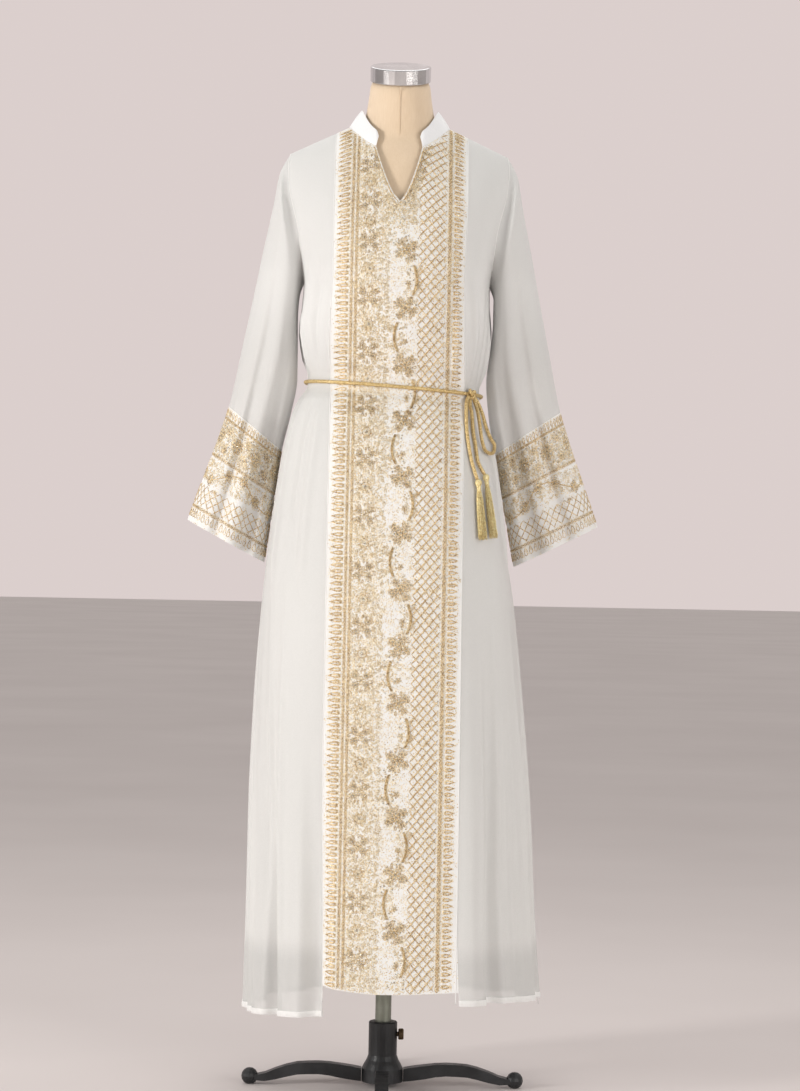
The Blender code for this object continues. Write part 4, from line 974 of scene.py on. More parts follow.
def half_front(sign):
    """Turns and levels of the embroidered panel's left or right half, from the middle out."""
    lifts = upper_lifts()
    levels = np.concatenate([lower_levels(), level_of(lifts)])
    seam_x = PANEL_LEFT if sign < 0 else PANEL_RIGHT
    share = np.concatenate([np.linspace(0, 0.6, 15), np.linspace(0.6, 1, 9)[1:]])
    lift = lift_of(levels)
    middle = np.minimum(lift, NECK_START) * SLIT_LIFT / NECK_START
    grown = np.clip((lift - NECK_START) / (1 - NECK_START), 0, 1)
    inner_x = np.where(grown > 0, slit_edge(grown, sign), SLIT_X)
    x = inner_x[:, None] + (seam_x - inner_x)[:, None] * share
    start = np.minimum(lift, NECK_START)[:, None]
    lifted = middle[:, None] + (start - middle[:, None]) * share
    top = neck_lift(x[-1], NECK_DROP_FRONT)
    lifted = lifted + (top - lifted) * grown[:, None]
    level = np.where(levels[:, None] >= ARMPIT, level_of(lifted), levels[:, None])
    low_x = np.repeat(x[:1], SKIRT_ROWS + 1, axis=0)
    low_turn = turn_at(low_x, SKIRT_LEVEL)
    low = hem_rows(low_turn, smooth(PANEL_HEM, "z", low_turn[0]))
    return np.concatenate([low_turn, turn_at(x, level)]), np.concatenate([low, level])


def make_front_panel():
    """The embroidered panel. Its halves share the middle column below the slit."""
    slit = SKIRT_ROWS + 1 + len(lower_levels()) + int(np.searchsorted(upper_lifts(), NECK_START - 1e-6))
    points, inner, index, start = [], [], [], 0
    for sign in (-1, 1):
        turn, level = half_front(sign)
        sheet = body_point(turn, level)
        points.append(sheet.reshape(-1, 3))
        inner.append((sheet - body_normal(turn, level) * BAND).reshape(-1, 3))
        numbers = start + np.arange(turn.size).reshape(turn.shape)
        if sign > 0:
            numbers[: slit + 1, 0] = index[0][: slit + 1, 0]
        index.append(numbers)
        start += turn.size
    quads = np.concatenate([grid_faces(index[0][:, ::-1]), grid_faces(index[1])])
    used, renumbered = np.unique(quads, return_inverse=True)
    outside, inside = np.concatenate(points)[used], np.concatenate(inner)[used]
    return wall("front_panel_cloth", outside, inside, renumbered.reshape(quads.shape), "ground")


LINING_NODES = ("lining_skirt_front", "lining_skirt_back", "lining_top_front", "lining_top_back")


def make_lining(columns=96):
    levels = np.concatenate([np.linspace(LINING_HEM, 1.0, 36), np.linspace(1.0, 1.300, 24)[1:]])
    turn, level = np.meshgrid(np.linspace(-180, 180, columns + 1)[:-1], levels)
    folded = smooth(LINING_EASE, "folded", level)
    sheets = []
    for extra in (0.0, CHIFFON):
        ease = smooth(LINING_EASE, "ease", level) + extra
        sheets.append(body_point(turn, level, ease=ease, folded=folded).reshape(-1, 3))
    index = np.arange(turn.size).reshape(turn.shape)
    return wall("lining_cloth", *sheets, grid_faces(index, wrap=True), "lining")


COLLAR = table("x lean height", (0.0, 0.0035, 0.026), (0.04, 0.0080, 0.025), (0.083, 0.0200, 0.029))
COLLAR_CORNER = 0.010
COLLAR_ROWS = 9


def collar_line():
    """Turns and levels along the neckline, from the slit's right corner round the back to its left."""
    x = np.linspace(SLIT_HALF, NECK_HALF, 16)[:-1]
    level = level_of(neck_lift(x, NECK_DROP_FRONT))
    turn = turn_at(x, level)
    neck = turn_at(NECK_HALF, np.array(RIDGE), back=True)
    back_turn = np.linspace(neck, 360 - neck, 45)
    back_level = back_neckline(back_turn)
    return np.concatenate([turn, back_turn, -turn[::-1]]), np.concatenate([level, back_level, level[::-1]])


def collar_frame():
    """The collar's foot, its rise and its outward direction at each point of the neckline."""
    turn, level = collar_line()
    base = body_point(turn, level)
    normal = body_normal(turn, level)
    inward = unit((np.array([0.0, 0.004, 0.0]) - base) * (1, 1, 0))
    lean = smooth(COLLAR, "lean", np.abs(base[:, 0]))
    height = smooth(COLLAR, "height", np.abs(base[:, 0]))
    along = np.concatenate([[0], np.cumsum(np.linalg.norm(np.diff(base, axis=0), axis=1))])
    from_end = np.minimum(along, along[-1] - along)
    corner = np.clip(1 - from_end / COLLAR_CORNER, 0, 1)
    height = height - COLLAR_CORNER * 0.8 * (1 - np.sqrt(1 - corner**2))
    rise = inward * lean[:, None] + np.array([0, 0, 1]) * height[:, None]
    outward = unit(np.cross(unit(np.gradient(base, axis=0)), unit(rise)))
    return base + normal * 0.0002, rise, outward


def make_collar():
    base, rise, outward = collar_frame()
    share = np.linspace(0, 1, COLLAR_ROWS)[:, None, None]
    fullness = 0.0009 * np.sin(share * math.pi)
    outside = base + rise * share + outward * fullness
    inside = outside - outward * (BAND + 0.0004 * np.sin(share * math.pi))
    index = np.arange(share.size * len(base)).reshape(share.size, len(base))
    return wall("collar_cloth", outside.reshape(-1, 3), inside.reshape(-1, 3), grid_faces(index), "collar")


# Sleeves


SLEEVE_AROUND = 88


def sleeve_wall(name, rows, sign, thickness, finish):
    around, row = np.meshgrid(np.linspace(0, 360, SLEEVE_AROUND + 1)[:-1], rows)
    outside = sleeve_point(around, row, sign)
    inside = outside - sleeve_normal(around, row, sign) * thickness
    if sign > 0:
        outside, inside = outside[:, ::-1], inside[:, ::-1]
    index = np.arange(row.size).reshape(row.shape)
    return wall(name, outside.reshape(-1, 3), inside.reshape(-1, 3), grid_faces(index, wrap=True), finish)
# Needlework. Motifs are drawn flat, in metres across and up, and then laid on the cloth.


class Needlework:
    """Threads, stones and sequins for one surface, kept as flat drawings until they are laid."""

    def __init__(self, surface, inside):
        self.surface = surface
        self.inside = inside
        self.lines = {}
        self.dots = {}

    def thread(self, kind, line, width, height=0.6):
        """A raised thread along a flat line. height is a share of the width."""
        line = np.asarray(line, float)
        if self.inside(line).all():
            self.lines.setdefault((kind, len(line)), []).append((line, width, height))

    def clipped(self, kind, line, width, height=0.6):
        """A thread along as much of the line as lies on the cloth."""
        line = np.asarray(line, float)
        kept = self.inside(line).astype(int)
        starts = np.flatnonzero(np.diff(np.concatenate([[0], kept])) == 1)
        ends = np.flatnonzero(np.diff(np.concatenate([kept, [0]])) == -1)
        for start, end in zip(starts, ends):
            if end - start > 1:
                self.thread(kind, line[start : end + 1], width, height)

    def dot(self, kind, at, radius):
        at = np.asarray(at, float)
        if self.inside(at[None]).all():
            self.dots.setdefault(kind, []).append((*at, radius))

    def threads_of(self, kind):
        """Points and faces of every thread of one kind."""
        parts = []
        for (one, count), rows in self.lines.items():
            if one != kind:
                continue
            flat = np.stack([row[0] for row in rows])
            width = np.array([row[1] for row in rows])[:, None, None]
            height = width * np.array([row[2] for row in rows])[:, None, None]
            points, normals = self.surface(flat)
            closed = np.linalg.norm(flat[:, 0] - flat[:, -1], axis=-1) < 1e-6
            run = np.gradient(points, axis=1)
            joint = points[:, 1] - points[:, -2]
            run[closed, 0] = joint[closed]
            run[closed, -1] = joint[closed]
            side = unit(np.cross(normals, run))
            taper = np.ones((len(rows), count, 1))
            taper[~closed, 0] = taper[~closed, -1] = 0.35
            left, right = points - side * width * taper / 2, points + side * width * taper / 2
            top = points + normals * height * taper
            ring = np.stack([left, top, right], axis=2)
            index = np.arange(len(rows) * count * 3).reshape(len(rows), count, 3)
            faces = []
            for a in range(3):
                b = (a + 1) % 3
                quad = (index[:, :-1, a], index[:, 1:, a], index[:, 1:, b], index[:, :-1, b])
                faces.append(np.stack(quad, axis=-1).reshape(-1, 4))
            faces += [index[:, 0], index[:, -1, ::-1]]
            parts.append((ring.reshape(-1, 3), faces))
        return joined(parts)

    def dots_of(self, kind, sides, height, flat_top):
        """Points and faces of the beads of one kind: a ring, a smaller ring and a top."""
        rows = np.array(self.dots[kind])
        centre, normal = self.surface(rows[:, :2])
        radius = rows[:, 2:3]
        right = unit(np.cross((0.0, 0.0, 1.0), normal))
        up = np.cross(normal, right)
        turn = np.linspace(0, 2 * math.pi, sides + 1)[:-1] + rows[:, :1] * 900
        spread = right[:, None] * np.cos(turn)[..., None] + up[:, None] * np.sin(turn)[..., None]
        low = centre[:, None] + spread * radius[:, None]
        rise = normal[:, None] * radius[:, None] * height * 0.75
        high = centre[:, None] + spread * radius[:, None] * flat_top + rise
        top = centre + normal * radius * height
        points = np.concatenate([low, high, top[:, None]], axis=1)
        start = np.arange(len(rows))[:, None] * (2 * sides + 1)
        k = np.arange(sides)[None]
        after = (k + 1) % sides
        walls = np.stack([start + k, start + after, start + sides + after, start + sides + k], axis=-1)
        tops = np.stack([start + sides + k, start + sides + after, start + 2 * sides + 0 * k], axis=-1)
        under = start + np.arange(sides)[::-1][None]
        return points.reshape(-1, 3), [walls.reshape(-1, 4), tops.reshape(-1, 3), under]


def set_at(shape, at, angle=0.0, size=1.0, flip=1.0):
    """A drawing moved, turned by degrees, scaled and perhaps mirrored."""
    cos, sin = math.cos(math.radians(angle)), math.sin(math.radians(angle))
    x, y = shape[:, 0] * size, shape[:, 1] * size * flip
    return np.stack([at[0] + x * cos - y * sin, at[1] + x * sin + y * cos], axis=-1)


def drop_shape(length, width, count=9):
    """A closed teardrop whose point is at the origin."""
    turn = np.linspace(0, 2 * math.pi, count)
    along = (1 - np.cos(turn)) / 2
    return np.stack([length * along, width * 0.62 * np.sin(turn) * np.sqrt(along + 0.02)], axis=-1)


def ring_shape(radius, count=9):
    turn = np.linspace(0, 2 * math.pi, count)
    return np.stack([radius * np.cos(turn), radius * np.sin(turn)], axis=-1)


def curl_shape(size, turns=1.2, count=9):
    """A spiral that opens from its middle."""
    turn = np.linspace(0.6, 2 * math.pi * turns, count)
    return np.stack([np.cos(turn), np.sin(turn)], axis=-1) * (size * turn / turn[-1])[:, None]


def between(start, end, count):
    """Points evenly along a straight line."""
    start, end = np.array(start, float), np.array(end, float)
    return start + (end - start) * np.linspace(0, 1, count)[:, None]


def direction(degrees):
    """The unit direction at an angle on the flat."""
    return np.array([math.cos(math.radians(degrees)), math.sin(math.radians(degrees))])


def flower(work, at, size, petals, angle=0.0):
    """Petals of two outlines round a stone, with small beads between them."""
    for k in range(petals):
        turn = angle + 360 * k / petals
        way = direction(turn)
        work.thread("gold", set_at(drop_shape(size, size * 0.75), at + way * size * 0.22, turn), size * 0.16)
        inner = set_at(drop_shape(size * 0.6, size * 0.36, 7), at + way * size * 0.3, turn)
        work.thread("pale_gold", inner, size * 0.12)
        work.dot("stone", at + way * size * 0.78, size * 0.20)
    work.thread("gold", set_at(ring_shape(size * 0.34), at), size * 0.14)
    work.dot("stone", at, size * 0.30)


def gem_cluster(work, at, across, up):
    """Four gem flowers at the corners of an oblong, leaves between them and a wreath round them all."""
    for side in (-1, 1):
        for rise in (-1, 1):
            spot = at + np.array([side * across, rise * up])
            flower(work, spot, 0.0050, 6, 30 * side + 20 * rise)
            work.dot("stone", spot, 0.0023)
    for k in range(4):
        turn = 90 * k
        work.thread("gold", set_at(drop_shape(0.0072, 0.0040), at, turn), 0.0013)
        work.thread("pale_gold", set_at(drop_shape(0.0050, 0.0020, 6), at, turn + 45), 0.0011)
    work.dot("stone", at, 0.0017)
    for k in range(16):
        turn = math.radians(22.5 * k)
        foot = at + np.array([math.cos(turn) * (across + 0.0062), math.sin(turn) * (up + 0.0062)])
        lean = 18 if k % 2 else -18
        work.thread("gold", set_at(drop_shape(0.0058, 0.0030, 7), foot, 22.5 * k + lean), 0.0011)


def ring_motif(work, at, size):
    work.thread("gold", set_at(ring_shape(size, 13), at), size * 0.20)
    work.thread("pale_gold", set_at(ring_shape(size * 0.62, 11), at), size * 0.16)
    work.dot("stone", at, size * 0.36)
    leaf = drop_shape(size * 0.55, size * 0.42, 7)
    for k in range(8):
        turn = 45 * k + 20
        work.thread("gold", set_at(leaf, at + direction(turn) * size * 1.1, turn), size * 0.13)


def braid(work, start, end, width, pitch):
    """Two strands that cross, with a bead in each eye and a fine cord along both sides."""
    start, end = np.array(start, float), np.array(end, float)
    length = np.linalg.norm(end - start)
    way = (end - start) / length
    side = np.array([-way[1], way[0]])
    steps = max(2, int(length / pitch))
    at = np.linspace(0, length, steps * 3 + 1)
    for phase in (0, math.pi):
        swing = np.sin(at / length * steps * math.pi + phase) * width * 0.30
        work.clipped("gold", start + way * at[:, None] + side * swing[:, None], width * 0.26)
    for k in range(steps):
        work.dot("sequin", start + way * length * (k + 0.5) / steps, width * 0.15)
    for edge in (-0.5, 0.5):
        line = start + way * at[::2, None] + side * width * edge
        work.clipped("pale_gold", line, width * 0.14)


def lattice(work, low, high, spacing, rise, lean, width):
    """Crossing lines within a box. rise is the lines' slope, lean says which lines are bolder."""
    across, up = high[0] - low[0], high[1] - low[1]
    step = spacing * math.sqrt(1 + rise * rise)
    for sign in (1, -1):
        bold = 1.0 if sign == lean else 0.72
        first = -math.ceil(across * rise / step) if sign > 0 else 0
        last = math.ceil((up + (0 if sign > 0 else across * rise)) / step)
        for k in range(first, last + 1):
            start = (low[0], low[1] + k * step)
            end = (high[0], start[1] + sign * across * rise)
            count = max(3, int(math.hypot(across, across * rise) / 0.0046))
            work.clipped("gold", between(start, end, count), width * bold, 0.55)


def scatter(work, rng, low, high, count, kinds, allowed=None):
    """Small curls, drops and seed beads strewn evenly over a box, each turned its own way."""
    across, up = high[0] - low[0], high[1] - low[1]
    cell = math.sqrt(across * up / count)
    for i in range(int(across / cell)):
        for j in range(int(up / cell)):
            x = low[0] + (i + 0.15 + 0.7 * rng.random()) * cell
            y = low[1] + (j + 0.15 + 0.7 * rng.random()) * cell
            at = np.array([x, y])
            if allowed is not None and not allowed(at):
                continue
            kind = kinds[rng.integers(len(kinds))]
            turn = rng.random() * 360
            size = 0.75 + 0.5 * rng.random()
            if kind == "curl":
                hand = 1 if rng.random() < 0.5 else -1
                work.thread("curls", set_at(curl_shape(0.0034, 1.25, 7), at, turn, size, hand), 0.0013)
            elif kind == "drop":
                work.thread("curls", set_at(drop_shape(0.0062, 0.0034, 6), at, turn, size), 0.0011)
            elif kind == "leaf":
                tip = at + 0.005 * size * np.array([math.cos(turn), math.sin(turn)])
                work.thread("pale_gold", between(at, tip, 4), 0.0020, 0.5)
            elif kind == "bead":
                work.dot("sequin", at, 0.0010 * size)
            else:
                work.dot("stone", at, 0.0013 * size)


# The panel's embroidery. Places across it are x, and places up it are heights along the cloth.


def cloth_rise():
    """Heights along the cloth above the armpit, for lifts up to the shoulder."""
    lift = np.linspace(0, 1, 80)
    spots = body_point(turn_at(np.full(80, 0.07), level_of(lift)), level_of(lift))
    return lift, np.concatenate([[0], np.cumsum(np.linalg.norm(np.diff(spots, axis=0), axis=1))])


RISE_LIFT, RISE = cloth_rise()


def panel_place(flat):
    """Turn and level of places on the panel."""
    x, up = flat[..., 0], flat[..., 1]
    lift = np.interp(up - ARMPIT, RISE, RISE_LIFT)
    slope = WAIST_SLOPE * (x / half_width(np.sign(x), up)) * np.exp(-(((up - WAIST) / WAIST_SPREAD) ** 2))
    level = np.where(up > ARMPIT, level_of(lift), up + slope)
    return turn_at(x, level), level


def panel_surface(flat):
    turn, level = panel_place(flat)
    normal = body_normal(turn, level)
    return body_point(turn, level) + normal * 0.00005, normal


PANEL_MARGIN = 0.0045
NECK_MARGIN = 0.0016


def on_panel(flat):
    """Whether places lie on the panel, clear of its seams, its hem, the slit and the neckline."""
    x, up = flat[..., 0], flat[..., 1]
    _, level = panel_place(flat)
    lift = lift_of(level)
    inside = (x > PANEL_LEFT + PANEL_MARGIN) & (x < PANEL_RIGHT - PANEL_MARGIN)
    inside &= level > smooth(PANEL_HEM, "z", turn_at(x, level)) + 0.0015
    inside &= level < RIDGE - 0.003
    inside &= lift < neck_lift(x, NECK_DROP_FRONT) - 0.006
    top = neck_lift(SLIT_HALF, NECK_DROP_FRONT)
    grown = np.clip((lift - SLIT_LIFT) / (top - SLIT_LIFT), 0, 1)
    open_slit = (lift > SLIT_LIFT) & (lift < top + 0.02)
    in_slit = (x > slit_edge(grown, -1) - NECK_MARGIN) & (x < slit_edge(grown, 1) + NECK_MARGIN)
    return inside & ~(open_slit & in_slit)


# Bands of the design, as x
FRINGE_OUT = -0.0975
FRINGE_IN = -0.0760
BRAIDS_LEFT = (-0.0728, -0.0655)
FILL_LEFT = (-0.0620, -0.0205)
CLUSTER_X = -0.0450
VINE_X = 0.0150
VINE_SWING = 0.0180
VINE_PERIOD = 0.181
VINE_RIGHT_AT = 0.776
LATTICE_X = (0.0345, 0.0790)
BRAID_RIGHT = 0.0845
FRINGE_RIGHT = (0.0900, 0.1060)
PANEL_FOOT = 0.178
PANEL_TOP = 1.66
CLUSTER_HEIGHTS = (
    0.235, 0.325, 0.413, 0.500, 0.587, 0.676, 0.761, 0.850,
    0.940, 1.030, 1.117, 1.204, 1.291, 1.379, 1.4465, 1.511,
)
# The gem flowers between two turns of the vine: place across and up from their middle, and size
GEM_FLOWERS = (
    (0, 0, 0.0082), (-0.0115, -0.0060, 0.0062), (0.0110, 0.0075, 0.0066),
    (-0.0075, 0.0115, 0.0056), (0.0080, -0.0115, 0.0058),
)
FRINGE_PITCH = 0.0098


def vine_x(up):
    return VINE_X + VINE_SWING * np.cos((up - VINE_RIGHT_AT) * 2 * math.pi / VINE_PERIOD)


def fringe(work, root, tip, low, high, pitch, lean):
    """A row of double leaves that point out from the braid, each with a bead at its tip."""
    length = abs(tip - root)
    way = math.copysign(1, tip - root)
    for k in range(int((high - low) / pitch)):
        up = low + (k + 0.5) * pitch
        for side in (-1, 1):
            leaf = drop_shape(length * 0.86, pitch * 0.50, 9)
            start = (tip - way * length * 0.04, up + side * pitch * 0.03)
            work.thread("gold", set_at(leaf, start, 180 * (way > 0) + side * way * lean), pitch * 0.17)
            vein_tip = (tip - way * length * 0.30, up + side * pitch * 0.12)
            vein = between((root, up + side * pitch * 0.26), vein_tip, 5)
            work.thread("pale_gold", vein, pitch * 0.15)
        work.dot("sequin", (tip, up), pitch * 0.13)
        work.dot("sequin", (root + way * length * 0.12, up), pitch * 0.11)


def in_fill(at):
    return all(math.hypot(at[0] - CLUSTER_X, at[1] - up) > 0.0185 for up in CLUSTER_HEIGHTS)


def in_vine(at):
    """Places near the vine's own side, where the white cloth isn't left bare."""
    gap = at[0] - vine_x(at[1])
    return 0.0035 < abs(gap) < 0.0150 or at[0] > 0.0330


def stem_flower(work, foot, angle, size):
    """A small flower on a curved stem with two leaves."""
    shape = np.array([[0, 0], [0.45, 0.10], [0.9, 0.05], [1.3, -0.12], [1.6, -0.35]]) * size
    stem = set_at(shape, foot, angle)
    work.thread("gold", stem, size * 0.16)
    flower(work, stem[-1], size * 0.62, 5, angle)
    leaf = drop_shape(size * 0.7, size * 0.34)
    for share, side in ((1, 1), (2, -1)):
        work.thread("gold", set_at(leaf, stem[share], angle + side * 55), size * 0.12)


def comb(work, foot, angle, count, size):
    """A curved spray of leaves that shorten towards its tip."""
    spine = set_at(np.array([[0, 0], [0.9, 0.12], [1.8, 0.42], [2.6, 0.95], [3.2, 1.65]]) * size, foot, angle)
    work.thread("gold", spine, size * 0.26)
    for k in range(count):
        share = (k + 0.6) / count * (len(spine) - 1)
        low = int(share)
        spot = spine[low] + (spine[min(low + 1, len(spine) - 1)] - spine[low]) * (share - low)
        length = size * (1.5 - 0.8 * k / count)
        leaf = drop_shape(length, length * 0.42, 7)
        for side in (-1, 1):
            work.thread("curls", set_at(leaf, spot, angle + 10 * k + side * 62), size * 0.19)
    work.dot("stone", spine[-1], size * 0.26)


def draw_vine(work):
    """A stem that swings from side to side: bold at its turns, and under flowers between them."""
    half = VINE_PERIOD / 2
    for k in range(-7, 7):
        turn_up = VINE_RIGHT_AT + k * half
        if not PANEL_FOOT - 0.02 < turn_up < 1.42:
            continue
        side = 1 if k % 2 == 0 else -1
        up = np.linspace(turn_up - 0.026, turn_up + 0.023, 15)
        for off in (-0.0009, 0.0009):
            work.clipped("gold", np.stack([vine_x(up) + off, up], axis=-1), 0.0020, 0.8)
        work.clipped("pale_gold", np.stack([vine_x(up) - side * 0.0027, up], axis=-1), 0.0012)
        lower = np.array([vine_x(turn_up - 0.02) + side * 0.002, turn_up - 0.018])
        comb(work, lower, 90 - side * 55, 5, 0.0040)
        upper = np.array([vine_x(turn_up + 0.012) + side * 0.001, turn_up + 0.012])
        comb(work, upper, 90 - side * 62, 4, 0.0034)
        inner = np.array([vine_x(turn_up) - side * 0.0160, turn_up - 0.006])
        stem_flower(work, inner - np.array([-side * 0.006, 0.010]), 90 + side * 34, 0.0066)
        middle = turn_up + half / 2
        centre = np.array([vine_x(middle), middle])
        for j, (x, rise, size) in enumerate(GEM_FLOWERS):
            flower(work, centre + np.array([side * x, rise]), size, 6 if j == 0 else 5, 20 * k + 37 * j)
        for j in range(6):
            turn = 60 * j + 25 * k
            foot = centre + direction(turn) * 0.0125
            work.thread("gold", set_at(drop_shape(0.0075, 0.0034), foot, turn + 24 * side), 0.0012)


def draw_fill(work, rng):
    """The dense band: gem flowers and rings on a bed of curls and beads."""
    for low, high in zip(CLUSTER_HEIGHTS[:-1], CLUSTER_HEIGHTS[1:]):
        ring_motif(work, np.array([CLUSTER_X + 0.001, (low + high) / 2]), 0.0070)
    for up in CLUSTER_HEIGHTS:
        gem_cluster(work, np.array([CLUSTER_X, up]), 0.0088, 0.0072)
    bed = ("curl", "drop", "leaf", "bead", "bead")
    scatter(work, rng, (FILL_LEFT[0], PANEL_FOOT), (FILL_LEFT[1], PANEL_TOP), 3850, bed, in_fill)
    scatter(work, rng, (FILL_LEFT[1], PANEL_FOOT), (-0.0095, PANEL_TOP), 900, ("curl", "drop", "bead"))
    beside_vine = ("leaf", "drop", "bead", "bead", "stone")
    scatter(work, rng, (-0.0095, PANEL_FOOT), (0.0365, 1.46), 2500, beside_vine, in_vine)
    scatter(work, rng, (0.006, 1.46), (0.0345, PANEL_TOP), 420, ("curl", "drop", "bead", "stone"))
    scatter(work, rng, (-0.0205, 1.405), (0.0345, 1.50), 420, ("curl", "drop", "leaf", "bead"))


def draw_neck(work):
    """Cords along both edges of the slit, and small flowers beside its right edge."""
    lift = np.linspace(SLIT_LIFT + 0.004, 0.985, 60)
    up = ARMPIT + np.interp(lift, RISE_LIFT, RISE)
    top = neck_lift(SLIT_HALF, NECK_DROP_FRONT)
    grown = np.clip((lift - SLIT_LIFT) / (top - SLIT_LIFT), 0, 1)
    for off, width in ((0.0032, 0.0024), (0.0062, 0.0016)):
        work.clipped("gold", np.stack([slit_edge(grown, 1) + off, up], axis=-1), width, 0.7)
    work.clipped("gold", np.stack([slit_edge(grown, -1) - 0.0030, up], axis=-1), 0.0016, 0.7)
    for k in range(7):
        at = up[4 + k * 6]
        flower(work, np.array([slit_edge(grown[4 + k * 6], 1) + 0.0125, at]), 0.0046, 5, 40 * k)


def draw_panel(work):
    rng = np.random.default_rng(7)
    fringe(work, FRINGE_IN, FRINGE_OUT, PANEL_FOOT, PANEL_TOP, FRINGE_PITCH, 4)
    for x in BRAIDS_LEFT:
        braid(work, (x, PANEL_FOOT), (x, PANEL_TOP), 0.0048, 0.0052)
    draw_fill(work, rng)
    draw_vine(work)
    draw_neck(work)
    lattice(work, (LATTICE_X[0], PANEL_FOOT - 0.05), (LATTICE_X[1], PANEL_TOP), 0.0102, 1.15, 1, 0.0022)
    braid(work, (BRAID_RIGHT, PANEL_FOOT), (BRAID_RIGHT, PANEL_TOP), 0.0062, 0.0060)
    fringe(work, FRINGE_RIGHT[0], FRINGE_RIGHT[1], PANEL_FOOT, PANEL_TOP, FRINGE_PITCH, 5)


# The cuffs' embroidery. Places round a cuff are metres along its middle ring, and places down it
# are metres from its top.

CUFF_DROP = 0.188


def cuff_rings(sign):
    angle = np.linspace(0, 360, 361)
    ring = sleeve_point(angle, np.full(361, 6.5), sign)
    return angle, np.concatenate([[0], np.cumsum(np.linalg.norm(np.diff(ring, axis=0), axis=1))])


def cuff_surface_of(sign):
    angle, along = cuff_rings(sign)

    def surface(flat):
        around = np.interp(flat[..., 0] % along[-1], along, angle)
        row = CUFF_START + np.clip(flat[..., 1] / CUFF_DROP, 0.001, 0.999)
        normal = sleeve_normal(around, row, sign)
        return sleeve_point(around, row, sign) + normal * 0.00005, normal

    return surface, along[-1]


def within_cuff(flat):
    return (flat[..., 1] > 0.003) & (flat[..., 1] < CUFF_DROP - 0.0065)


def draw_cuff(work, girth, seed):
    """Drops along the top, a dense band, a vine with lattice below it, and drops along the foot."""
    rng = np.random.default_rng(seed)
    count = int(girth / 0.0082)
    pitch = girth / count
    for k in range(count):
        at = (k + 0.5) * pitch
        work.thread("gold", set_at(drop_shape(0.0150, pitch * 0.62, 11), (at, 0.0205), 270), 0.0011)
        work.thread("pale_gold", between((at, 0.0195), (at, 0.0105), 4), 0.0012)
        work.dot("sequin", (at, 0.0042), 0.0010)
        lower = drop_shape(0.0125, pitch * 0.66, 11)
        work.thread("gold", set_at(lower, (at, CUFF_DROP - 0.0205), 90), 0.0011)
        work.dot("sequin", (at, CUFF_DROP - 0.0150), 0.0011)
        work.dot("sequin", (at + pitch / 2, CUFF_DROP - 0.0100), 0.0009)
    for level in (0.0238, 0.0860, CUFF_DROP - 0.0245):
        braid(work, (0.0, level), (girth, level), 0.0052, 0.0054)
    bed = ("curl", "drop", "drop", "leaf", "bead", "stone")
    scatter(work, rng, (0, 0.028), (girth, 0.083), int(girth * 4700), bed)
    motifs = int(girth / 0.046)
    for k in range(motifs):
        at = (k + 0.5) * girth / motifs
        flower(work, np.array([at, 0.055]), 0.0100, 8, 15 * k)
        flower(work, np.array([at + girth / motifs / 2, 0.041]), 0.0062, 6, 40 * k)
        flower(work, np.array([at + girth / motifs / 2, 0.070]), 0.0062, 6, 10 * k)
    vine = np.arange(0, girth, 0.004)
    swing = 0.108 + 0.013 * np.sin(vine * 2 * math.pi * 3 / girth)
    work.clipped("gold", np.stack([vine, swing], axis=-1), 0.0019, 0.7)
    for k in range(12):
        at = (k + 0.3) * girth / 12
        up = 0.108 + 0.013 * math.sin(at * 2 * math.pi * 3 / girth)
        flower(work, np.array([at, up]), 0.0072, 6, 25 * k)
        side = 1 if k % 2 else -1
        stem_flower(work, np.array([at + 0.010, up + side * 0.012]), side * 20, 0.0050)
    scatter(work, rng, (0, 0.092), (girth, 0.126), int(girth * 2200), ("curl", "leaf", "bead", "bead"))
    lattice_round(work, girth, 0.130, CUFF_DROP - 0.028, 0.0098, 0.0015)


def lattice_round(work, girth, low, high, spacing, width):
    """Crossing lines all the way round."""
    count = int(girth / (spacing * math.sqrt(2)))
    for k in range(count):
        for sign in (1, -1):
            start = k * girth / count
            line = between((start, low), (start + sign * (high - low), high), 12)
            work.thread("gold", line, width, 0.55)
# Belt and tassels

LAY = 0.0105  # length of cord in which its strands turn once
STRANDS = 3
CORD_AROUND = 15
CORD_POINTS = 400  # a route's points before its strands are laid
TASSEL_STRANDS = 110


def twisted(name, path, radius=CORD_R, step=0.0012):
    """A cord laid from three strands along a path, as one tube with a grooved section."""
    path = np.asarray(path, float)
    steps = np.linalg.norm(np.diff(path, axis=0), axis=1)
    along = np.concatenate([[0], np.cumsum(steps)])
    at = np.linspace(0, along[-1], max(8, int(along[-1] / step)))
    spots = np.stack([np.interp(at, along, path[:, k]) for k in range(3)], axis=-1)
    run = unit(np.gradient(spots, axis=0))
    side = [unit(np.cross(run[0], (0.31, 0.22, 0.92)))]
    for way in run[1:]:
        side.append(unit(side[-1] - way * (side[-1] @ way)))
    side = np.array(side)
    up = np.cross(run, side)
    turn = np.linspace(0, 2 * math.pi, CORD_AROUND + 1)[:-1]
    lobe = np.abs(np.sin((turn[None] - at[:, None] / LAY * 2 * math.pi) * STRANDS / 2))
    reach = radius * (0.80 + 0.24 * lobe**0.7)
    reach[0] *= 0.9
    reach[-1] *= 0.9
    ring = side[:, None] * (np.cos(turn) * reach)[..., None] + up[:, None] * (np.sin(turn) * reach)[..., None]
    index = np.arange(len(at) * CORD_AROUND).reshape(len(at), CORD_AROUND)
    faces = [grid_faces(index, wrap=True), [tuple(index[0][::-1])], [tuple(index[-1])]]
    return piece(name, (spots[:, None] + ring).reshape(-1, 3), faces, "cord")


